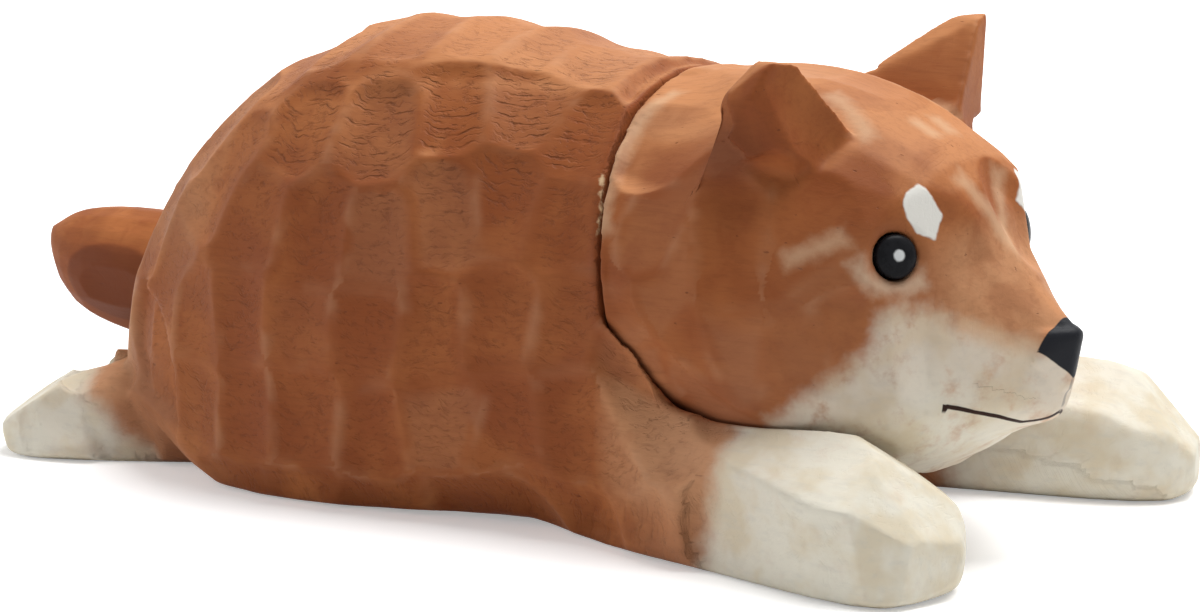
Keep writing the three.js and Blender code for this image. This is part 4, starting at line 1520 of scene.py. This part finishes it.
@dataclass
class HeadBlock(CarvedBlock):
    """Head with its ears and muzzle, cut from its own block. Its sizes are in the head's own frame.

    Attributes:
        NEAR_EAR: the hollowed front of the near ear.
        FAR_EYE: the hollow beside the far eye.
        LINE_STEP: how long the steps of a painted line are.
        ears: middles of the ears.
        ear_kept: distances from them between which the cuts start.
        white_side: the white seen from the side.
        white_drop: how far it was drawn in all round.
        brow_axis: the way the brow spots are looked at, forwards and outwards.
        brow: a brow spot, seen that way.
        far_brow: how much farther in the far one lies.
        brow_front: where the spots begin, along the head.
        mouth: the mouth line on the far cheek, painted on both.
        lip: the crease under the nose.
        rim: the pale rim under the far eye, on both sides, as wear and as a painted highlight on the
            hollow's edge.
        pale: the rubbed streaks, on both sides.
        worn_halves: half the width of the rim and of the streaks.
        specks: small dark specks.
        speck_radius: their radius.
        seam: where bare wood shows along the neck seam.
        seam_half: half its width.
        nose_low: height of the black at its lowest point.
        nose_rise: how far its lower edge rises per millimetre outwards.
        nose_square: turns that height into distance from the edge.
        nose_front: how far along the head the black begins.
        nose_lean: how far that moves forwards per millimetre up.
        nose_height: height at which it is given.
    """

    NEAR_EAR: ClassVar[Hollow] = Hollow(
        (19.8, -14.3, 40.2), (0.97, -0.24, 0.09), (2.1, 8.6, -9.5), Tool.EAR_HOLLOW
    )
    FAR_EYE: ClassVar[Hollow] = Hollow(
        (30.9, 1.9, 31.2), (0.86, 0.2, 0.42), (0.5, 0.3, -0.8), Tool.EYE_HOLLOW
    )
    LINE_STEP: ClassVar[float] = 0.5

    node: str = "head_block"
    slot: str = "stained_head_wood"
    neighbours: tuple[tuple[str, float], ...] = (
        ("body_block", 1.3), ("neck_dowel", 1.3), ("eye_right", 1.3), ("eye_left", 1.3)
    )
    voxel: float = 0.3
    sanding: int = 2
    seed: int = 5
    wander: float = 0.5
    rows: tuple[CutRow, ...] = (
        CutRow(((4.0, -8.2, 41.0), (2.5, -13.8, 37.8), (2.3, -18.0, 33.4), (2.6, -20.2, 28.4),
                (4.2, -21.1, 23.2), (7.2, -20.7, 19.0), (11.8, -19.4, 15.2)), (0.3, 0.0, -1.0), Tool.CHEEK),
        CutRow(((8.5, -14.2, 37.4), (9.2, -18.7, 31.6), (9.8, -20.8, 25.2), (12.6, -20.6, 19.0)),
               DOWN, Tool.CHEEK),
        CutRow(((15.6, -19.1, 27.6), (16.0, -20.0, 20.8), (19.6, -18.4, 15.9)), DOWN, Tool.CHEEK),
        CutRow(((21.5, -15.8, 29.8), (22.5, -16.8, 23.0), (24.4, -15.8, 18.2), (23.0, -15.4, 12.5)),
               DOWN, Tool.CHEEK),
        CutRow(((8.0, 0.0, 42.0), (14.0, 0.0, 41.6)), FORWARD, Tool.CHEEK, False),
    )
    hollows: tuple[Hollow, ...] = (NEAR_EAR, FAR_EYE)
    soft: tuple[tuple[Point, float], ...] = (
        ((13.2, -17.0, 36.0), 5.0), ((13.2, 17.0, 36.0), 5.0), ((17.6, -15.9, 45.4), 2.2),
        ((17.6, 15.9, 46.6), 2.2),
    )
    # painted shade darkens the sides under the ears and the outer faces of the ears; the forehead is a
    # little darker, and the lower muzzle, the back of the crown and part of the far ear are lighter
    stain: tuple[Zone, ...] = (
        Zone(1.0, x=((25.0, 16.0),), y=((8.0, 13.0),), z=((39.0, 33.0),), lean=(1.0, 14.0)),
        Zone(0.85, x=((10.0, 13.0), (21.5, 19.0)), y=((15.2, 17.0),), z=((31.0, 37.0),)),
        Zone(0.3, x=((21.0, 24.0),), z=((31.0, 34.0),)),
        Zone(-0.8, x=((28.0, 32.0),), z=((32.0, 28.0),)),
        Zone(-0.35, x=((12.0, 8.0),), z=((32.0, 36.0),)),
        Zone(-0.1, y=((9.0, 11.0),), z=((37.5, 40.0),), side=1),
    )
    ears: tuple[Point, ...] = ((17.6, -12.6, 42.0), (17.6, 12.6, 43.5))
    ear_kept: Flat = (6.0, 8.0)
    white_side: tuple[Flat, ...] = (
        (41.5, 21.6), (38.4, 21.0), (37.4, 20.7), (35.1, 21.4), (32.3, 22.5), (29.6, 24.3),
        (28.1, 24.4), (26.5, 23.6), (25.9, 20.8), (24.5, 18.4), (21.1, 16.2), (18.6, 13.7),
        (16.0, 9.0), (13.0, 3.0), (41.5, 3.0),
    )
    brow_axis: Flat = (0.58, 0.81)
    far_brow: float = 1.9
    brow_front: float = 24.0
    brow: tuple[Flat, ...] = (
        (8.25, 33.5), (9.45, 34.2), (10.15, 33.9), (11.6, 31.5), (10.8, 29.3), (10.25, 29.6),
        (9.05, 30.0), (8.15, 31.5), (7.9, 32.7),
    )
    mouth: tuple[Point, ...] = (
        (31.0, 8.8, 14.5), (31.05, 8.7, 14.9), (31.3, 8.5, 15.0), (32.0, 7.7, 14.9),
        (33.5, 6.3, 14.4), (34.8, 5.0, 13.8), (35.8, 2.9, 13.1), (36.9, 1.7, 13.3),
        (38.0, 0.0, 14.0),
    )
    lip: tuple[Point, ...] = ((38.7, 0.0, 17.2), (37.95, 0.0, 14.4))
    rim: tuple[Point, ...] = (
        (25.5, 13.6, 27.2), (25.8, 13.4, 26.3), (26.6, 12.8, 25.6), (28.0, 11.1, 25.4),
        (29.0, 9.6, 25.9),
    )
    pale: tuple[tuple[Point, ...], ...] = (
        ((1.4, 8.6, 40.4), (0.7, 11.0, 39.3), (0.6, 13.3, 37.5), (0.6, 15.6, 35.8), (0.8, 17.2, 33.7),
         (1.2, 18.6, 31.6), (1.9, 19.5, 29.5)),
        ((20.4, 16.6, 28.0), (22.2, 15.2, 28.9), (23.6, 14.3, 29.6)),
        ((17.4, 5.6, 40.7), (19.5, 6.3, 39.8), (22.0, 7.5, 37.9)),
        ((29.4, 3.4, 33.9), (30.6, 2.4, 32.0), (31.6, 1.4, 30.2), (32.8, 0.2, 28.0)),
        ((32.3, 7.0, 21.9), (33.9, 5.6, 21.2), (35.6, 4.1, 20.3), (36.6, 3.0, 20.3)),
        ((23.8, 1.6, 38.3), (24.8, 1.4, 37.7)),
    )
    specks: tuple[Point, ...] = ((16.8, -18.6, 32.2), (18.6, -18.2, 25.6), (21.0, -17.6, 25.2))
    seam: tuple[Point, ...] = ((0.2, 18.4, 31.8), (0.5, 19.0, 29.8), (1.0, 19.7, 28.0))
    white_drop: float = 0.8
    worn_halves: Flat = (0.6, 0.7)
    speck_radius: float = 0.3
    seam_half: float = 0.05
    nose_low: float = 17.0
    nose_rise: float = 0.806
    nose_square: float = 0.78
    nose_front: float = 37.3
    nose_lean: float = 0.3
    nose_height: float = 19.5

    def own(self, points: np.ndarray) -> np.ndarray:
        """The head's own frame, before it was turned."""
        return to_head(points)

    def back(self, points: np.ndarray) -> np.ndarray:
        """Back from the head's frame."""
        return from_head(points)

    def hold(self, points: np.ndarray) -> np.ndarray:
        """Leaves the ears flat, as well as the joints.

        Args:
            points: the vertices.

        Returns:
            The share of each cut that is made at each vertex.
        """
        share = super().hold(points)
        for ear in self.ears:
            share *= smoothstep(*self.ear_kept, np.linalg.norm(to_head(points) - ear, axis=1))
        return share

    def paint(self, mesh: bpy.types.Mesh, points: np.ndarray, normals: np.ndarray) -> None:
        """White muzzle and throat, brow spots, rubbed places, mouth and nose.

        Args:
            mesh: the mesh, which is changed.
            points: the vertices in the head's frame.
            normals: their normals.
        """
        x, z = points[:, 0], points[:, 2]
        y = np.abs(points[:, 1])
        skin = Surface(points, [tuple(face.vertices) for face in mesh.polygons])
        white = polygon_edge(np.stack([x, z], 1), self.white_side)
        write_value(mesh, "white_edge", white - self.white_drop)
        front, side = self.brow_axis
        inward = x * front - y * side - np.where(points[:, 1] > 0, self.far_brow, 0.0)
        brow = polygon_edge(np.stack([inward, z], 1), self.brow)
        write_value(mesh, "brow_edge", np.minimum(brow, x - self.brow_front))
        for stored, line in (("mouth", self.mouth), ("lip", self.lip)):
            beside, reach = self._beside(points, normals, line, skin)
            write_value(mesh, stored + "_side", beside)
            write_value(mesh, stored + "_reach", reach)
        rim_half, pale_half = self.worn_halves
        write_value(mesh, "rim_edge", self._swath(points, normals, (self.rim,), skin, rim_half))
        write_value(mesh, "pale_edge", self._swath(points, normals, self.pale, skin, pale_half))
        inside = [self.speck_radius - np.linalg.norm(points - speck, axis=1) for speck in self.specks]
        write_value(mesh, "speck_edge", np.max(inside, axis=0))
        lower = (z - self.nose_low - self.nose_rise * y) * self.nose_square
        behind = x - self.nose_front - self.nose_lean * (z - self.nose_height)
        write_value(mesh, "nose_edge", np.minimum(lower, behind))
        write_value(mesh, "bare_edge", self._swath(points, normals, (self.seam,), skin, self.seam_half))

    @classmethod
    def _beside(
        cls, points: np.ndarray, normals: np.ndarray, line: tuple[Point, ...], skin: Surface
    ) -> tuple[np.ndarray, np.ndarray]:
        """Where vertices lie beside a line that is painted on both cheeks.

        Args:
            points: the vertices.
            normals: their normals.
            line: the line on the far cheek.
            skin: the carved surface.

        Returns:
            Distance to the side of the line, and how far inside its ends each vertex is.
        """
        side, reach = np.full(len(points), FAR), np.full(len(points), -FAR)
        for hand in (-1, 1):
            knots = snapped(tuple((x, hand * y, z) for x, y, z in line), skin, cls.LINE_STEP)
            here = points[:, 1] * hand >= 0
            beside, inside = line_place(points[here], normals[here], knots)
            side[here], reach[here] = np.where(beside == FAR, FAR, beside * hand), inside
        return side, reach

    @classmethod
    def _swath(
        cls, points: np.ndarray, normals: np.ndarray, lines: tuple, skin: Surface, half: float
    ) -> np.ndarray:
        """Where vertices lie in broad rubbed strokes.

        Args:
            points: the vertices.
            normals: their normals.
            lines: the strokes on the far side, made on both.
            skin: the carved surface.
            half: half the width of a stroke.

        Returns:
            Distance inside the edge.
        """
        edge = np.full(len(points), -FAR)
        for line in lines:
            side, reach = cls._beside(points, normals, line, skin)
            edge = np.maximum(edge, np.minimum(half - np.abs(side), reach + half))
        return edge


@dataclass
class TailBlock(CarvedBlock):
    """Short upturned tail.

    Attributes:
        SCOOP: middle of the scooped side.
        scoop_squash: how much nearer than it is the painted shade of the scoop counts each way.
        scoop_edge: distances between which that painted shade starts.
        shade_top: heights below which the stain is darker, as stain and as painted shade under the lit top.
        shade_low: heights between which it turns darker towards the underside, as painted shade.
        amounts: depth of the stain and shade, what the scoop's painted shade adds, and the share of that the
            underside has.
    """

    SCOOP: ClassVar[Point] = (-58.2, -6.0, 15.6)

    node: str = "tail_block"
    slot: str = "stained_tail_wood"
    neighbours: tuple[tuple[str, float], ...] = (("body_block", 1.3), ("tail_dowel", 1.3))
    voxel: float = 0.25
    seed: int = 3
    rows: tuple[CutRow, ...] = (CutRow(((-60.0, -2.9, 12.0),), FORWARD, Tool.FLAT, False),)
    hollows: tuple[Hollow, ...] = (Hollow(SCOOP, (-0.05, -0.93, -0.36), (1.0, 0.0, 0.1), Tool.TAIL_HOLLOW),)
    soft: tuple[tuple[Point, float], ...] = (((-69.9, -1.7, 20.6), 4.6),)
    scoop_squash: Point = (0.6, 0.6, 0.95)
    scoop_edge: Flat = (4.9, 4.1)
    shade_top: Flat = (21.6, 19.6)
    shade_low: Flat = (19.0, 17.0)
    amounts: Point = (0.7, 1.1, 0.6)

    def shade_and_stain_depth(self, points: np.ndarray) -> np.ndarray:
        """Darker below the top, and darkest in the scooped side and towards the underside, as painted shade.

        Args:
            points: the vertices.

        Returns:
            The depth at each vertex.
        """
        z = points[:, 2]
        even, more, low = self.amounts
        away = np.linalg.norm((points - self.SCOOP) * self.scoop_squash, axis=1)
        darkest = np.maximum(smoothstep(*self.scoop_edge, away), low * smoothstep(*self.shade_low, z))
        return smoothstep(*self.shade_top, z) * (even + more * darkest)


@dataclass
class EyeBead:
    """A domed bead set in its socket.

    Attributes:
        MERGE: doubled vertices are joined within this.
        node: the CAD node.
        finish: its finish.
        slot: the material slot of the record; not used here.
        dome: how far the dome rises.
        sides: faces round the bead.
        dome_steps: rings in the dome.
        back_share: radius of its back, as a share.
        back_edge: height of the bevel there.
        rim_edge: how far below the dome its side ends.
    """

    MERGE: ClassVar[float] = 1e-4

    node: str
    finish: BeadFinish
    slot: str = "eye_bead"
    dome: float = 0.7
    sides: int = 64
    dome_steps: int = 10
    back_share: float = 0.94
    back_edge: float = 0.15
    rim_edge: float = 0.1

    def axis(self, points: np.ndarray) -> np.ndarray:
        """The way the bead faces: its shortest direction, out of the head."""
        _, _, ways = np.linalg.svd(points - points.mean(0))
        return ways[2] * np.sign(ways[2] @ turned(np.array(FORWARD), HEAD_TURN))

    def _spun(self, radius: float, back: float, front: float) -> bmesh.types.BMesh:
        """Spins the bead about the upright axis.

        Args:
            radius: its radius.
            back: height of its back.
            front: height of its front.

        Returns:
            The mesh.
        """
        rim = front - self.dome
        profile = [(0.0, back), (radius * self.back_share, back), (radius, back + self.back_edge),
                   (radius, rim - self.rim_edge)]
        for step in range(self.dome_steps + 1):
            angle = math.pi / 2 * step / self.dome_steps
            profile.append((radius * math.cos(angle), rim + self.dome * math.sin(angle)))
        mesh = bmesh.new()
        verts = [mesh.verts.new((r, 0.0, h)) for r, h in profile]
        edges = [mesh.edges.new(pair) for pair in zip(verts[:-1], verts[1:])]
        bmesh.ops.spin(
            mesh, geom=verts + edges, cent=(0, 0, 0), axis=(0, 0, 1), angle=2 * math.pi,
            steps=self.sides, use_merge=True, use_duplicate=False,
        )
        bmesh.ops.remove_doubles(mesh, verts=mesh.verts, dist=self.MERGE)
        bmesh.ops.recalc_face_normals(mesh, faces=mesh.faces)
        return mesh

    def build(self) -> bpy.types.Object:
        """Spins the dome and places it where the CAD bead is.

        Returns:
            The piece.
        """
        surface = Surface.of_node(self.node)
        axis = self.axis(surface.points)
        along = surface.points @ axis
        flat = surface.points - along[:, None] * axis
        middle = flat.mean(0)
        mesh = self._spun(np.linalg.norm(flat - middle, axis=1).max(), along.min(), along.max())
        turn = Vector(axis).to_track_quat("Z", "Y").to_matrix().to_4x4()
        bmesh.ops.transform(mesh, matrix=Matrix.Translation(Vector(middle)) @ turn, verts=mesh.verts)
        out = bpy.data.meshes.new(self.node + "_bead")
        mesh.to_mesh(out)
        mesh.free()
        points = read_vectors(out, "co")
        dot = middle + axis * along.max() + self.finish.dot_shift
        write_value(out, "dot_edge", self.finish.dot_radius - np.linalg.norm(points - dot, axis=1))
        write_points(out, to_metres(points))
        return add_piece(out, self.node, self.finish.build())


@dataclass(frozen=True)
class Dowels:
    """The two hidden dowels, which keep their CAD shape.

    Attributes:
        finish: their finish.
        nodes: the CAD nodes.
    """

    finish: BareWoodFinish
    nodes: tuple[str, ...] = ("neck_dowel", "tail_dowel")

    def build(self) -> None:
        """Gives them bare wood."""
        material = self.finish.build()
        for node in self.nodes:
            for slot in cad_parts[node].material_slots:
                slot.material = material
            log.info("%s: bare wood", node)


# Studio

@dataclass(frozen=True)
class Lamp:
    """A soft square lamp.

    Attributes:
        name: its name.
        place: where it hangs, in metres.
        size: its side, in metres.
        watts: its power.
        colour: its colour.
    """

    name: str
    place: Point
    size: float
    watts: float
    colour: Rgb = WHITE


@dataclass(frozen=True)
class Studio:
    """Camera, floor and soft light.

    Attributes:
        azimuth: how far the camera stands round to the right, in degrees.
        elevation: how far it looks down, in degrees.
        distance: from the camera to its target.
        target: the point that it looks at, from the neck dowel's middle.
        lens: focal length.
        film: width of the film behind it.
        nearest: how near the camera sees, in metres.
        lamps: the lamps.
        aim: where they point, in metres.
        ambient: strength of the even surround, as it lights the dog.
        floor_half: half the side of the floor, in metres.
        floor_grey: its two colours.
        floor_lift: glow of the floor near the dog, as the rays see it that don't light the dog.
        floor_glow: distances from the dog between which it turns white.
    """

    azimuth: float = 32.0
    elevation: float = 10.0
    distance: float = 293.55
    target: Point = (-12.3, -0.7, -6.3)
    lens: float = 90.0
    film: float = 36.0
    nearest: float = 0.01
    lamps: tuple[Lamp, ...] = (
        Lamp("lamp_over", (0.13, 0.14, 0.56), 0.42, 4.5),
        Lamp("lamp_left", (-0.5, -0.3, 0.24), 0.5, 1.15),
    )
    aim: Point = (0.0, 0.0, 0.02)
    ambient: float = 0.2
    floor_half: float = 4.0
    floor_grey: Flat = (0.94, 0.96)
    floor_lift: float = 0.34
    floor_glow: Flat = (60.0, 420.0)

    def build(self) -> None:
        """Sets up the whole studio."""
        self._camera()
        self._floor()
        for lamp in self.lamps:
            self._hang(lamp)
        self._surround()
        bpy.context.scene.view_settings.view_transform = "Standard"

    def _camera(self) -> None:
        """The camera, at the photograph's angle."""
        around, up = math.radians(self.azimuth), math.radians(self.elevation)
        back = Vector((math.sin(around) * math.cos(up), -math.cos(around) * math.cos(up), math.sin(up)))
        right = Vector((0, 0, 1)).cross(back).normalized()
        over = back.cross(right)
        target = to_metres(np.array(NECK_POINT) + np.array(self.target))
        data = bpy.data.cameras.new("camera")
        data.lens = self.lens
        data.sensor_width = self.film
        data.sensor_fit = "HORIZONTAL"
        data.clip_start = self.nearest
        camera = put_in_scene("camera", data)
        turn = Matrix((right, over, back)).transposed().to_4x4()
        camera.matrix_world = Matrix.Translation(Vector(target) + back * self.distance * MM) @ turn
        bpy.context.scene.camera = camera

    def _floor(self) -> None:
        """A plain pale floor."""
        mesh = bmesh.new()
        bmesh.ops.create_grid(mesh, x_segments=2, y_segments=2, size=self.floor_half)
        data = bpy.data.meshes.new("floor")
        mesh.to_mesh(data)
        mesh.free()
        floor = put_in_scene("floor", data)
        finish, b, shader = new_finish("floor_paper")
        dark, pale = ((grey,) * 3 for grey in self.floor_grey)
        b.put(b.mix(b.noise(b.millimetres(), 0.4, 2.0), dark, pale), shader.inputs["Base Color"])
        spread = b.add("ShaderNodeVectorMath", operation="LENGTH")
        b.put(b.millimetres(), spread.inputs[0])
        lift = b.ramp(spread.outputs["Value"], *self.floor_glow, self.floor_lift, 1.0)
        b.put(b.times(lift, b.unlit_rays()), shader.inputs["Emission Strength"])
        shader.inputs["Emission Color"].default_value = (*WHITE, 1.0)
        shader.inputs["Roughness"].default_value = 0.9
        shader.inputs["Specular IOR Level"].default_value = 0.1
        data.materials.append(finish)

    def _hang(self, lamp: Lamp) -> None:
        """Hangs a lamp.

        Args:
            lamp: the lamp.
        """
        data = bpy.data.lights.new(lamp.name, "AREA")
        data.shape = "SQUARE"
        data.size = lamp.size
        data.energy = lamp.watts
        data.color = lamp.colour
        place = Vector(lamp.place)
        turn = (Vector(self.aim) - place).to_track_quat("-Z", "Y").to_matrix().to_4x4()
        put_in_scene(lamp.name, data).matrix_world = Matrix.Translation(place) @ turn

    def _surround(self) -> None:
        """An even surround that looks white."""
        world = bpy.data.worlds.new("surround")
        bpy.context.scene.world = world
        world.use_nodes = True
        b = Nodes(world.node_tree)
        b.tree.nodes.clear()
        glow = b.add("ShaderNodeBackground")
        b.put(b.blend(b.unlit_rays(), self.ambient, 1.0), glow.inputs["Strength"])
        glow.inputs["Color"].default_value = (*WHITE, 1.0)
        b.put(glow.outputs[0], b.add("ShaderNodeOutputWorld").inputs["Surface"])


def main() -> None:
    """Builds the dog and the studio."""
    logging.basicConfig(level=logging.INFO, format="%(name)s: %(message)s")
    groups = Groups()
    # lift moves where faces turned up start to be painted lighter, as rubbed stain and painted light from
    # above
    head = CarvedFinish("stained_head", groups, fade=2.6, wear=0.55, wash=0.12, lift=0.06, marks=True)
    BodyBlock(CarvedFinish("stained_body", groups, fade=3.2, wear=0.14, wash=0.42)).build()
    HeadBlock(head).build()
    TailBlock(CarvedFinish("stained_tail", groups, fade=1.0, wear=0.0, lift=-0.35)).build()
    beads = BeadFinish("black_bead", dot_radius=0.52, dot_shift=(0.0, 0.0, 0.1))
    EyeBead("eye_right", beads).build()
    EyeBead("eye_left", beads).build()
    Dowels(BareWoodFinish("bare_dowel")).build()
    Studio().build()


if __name__ == "__main__":
    main()
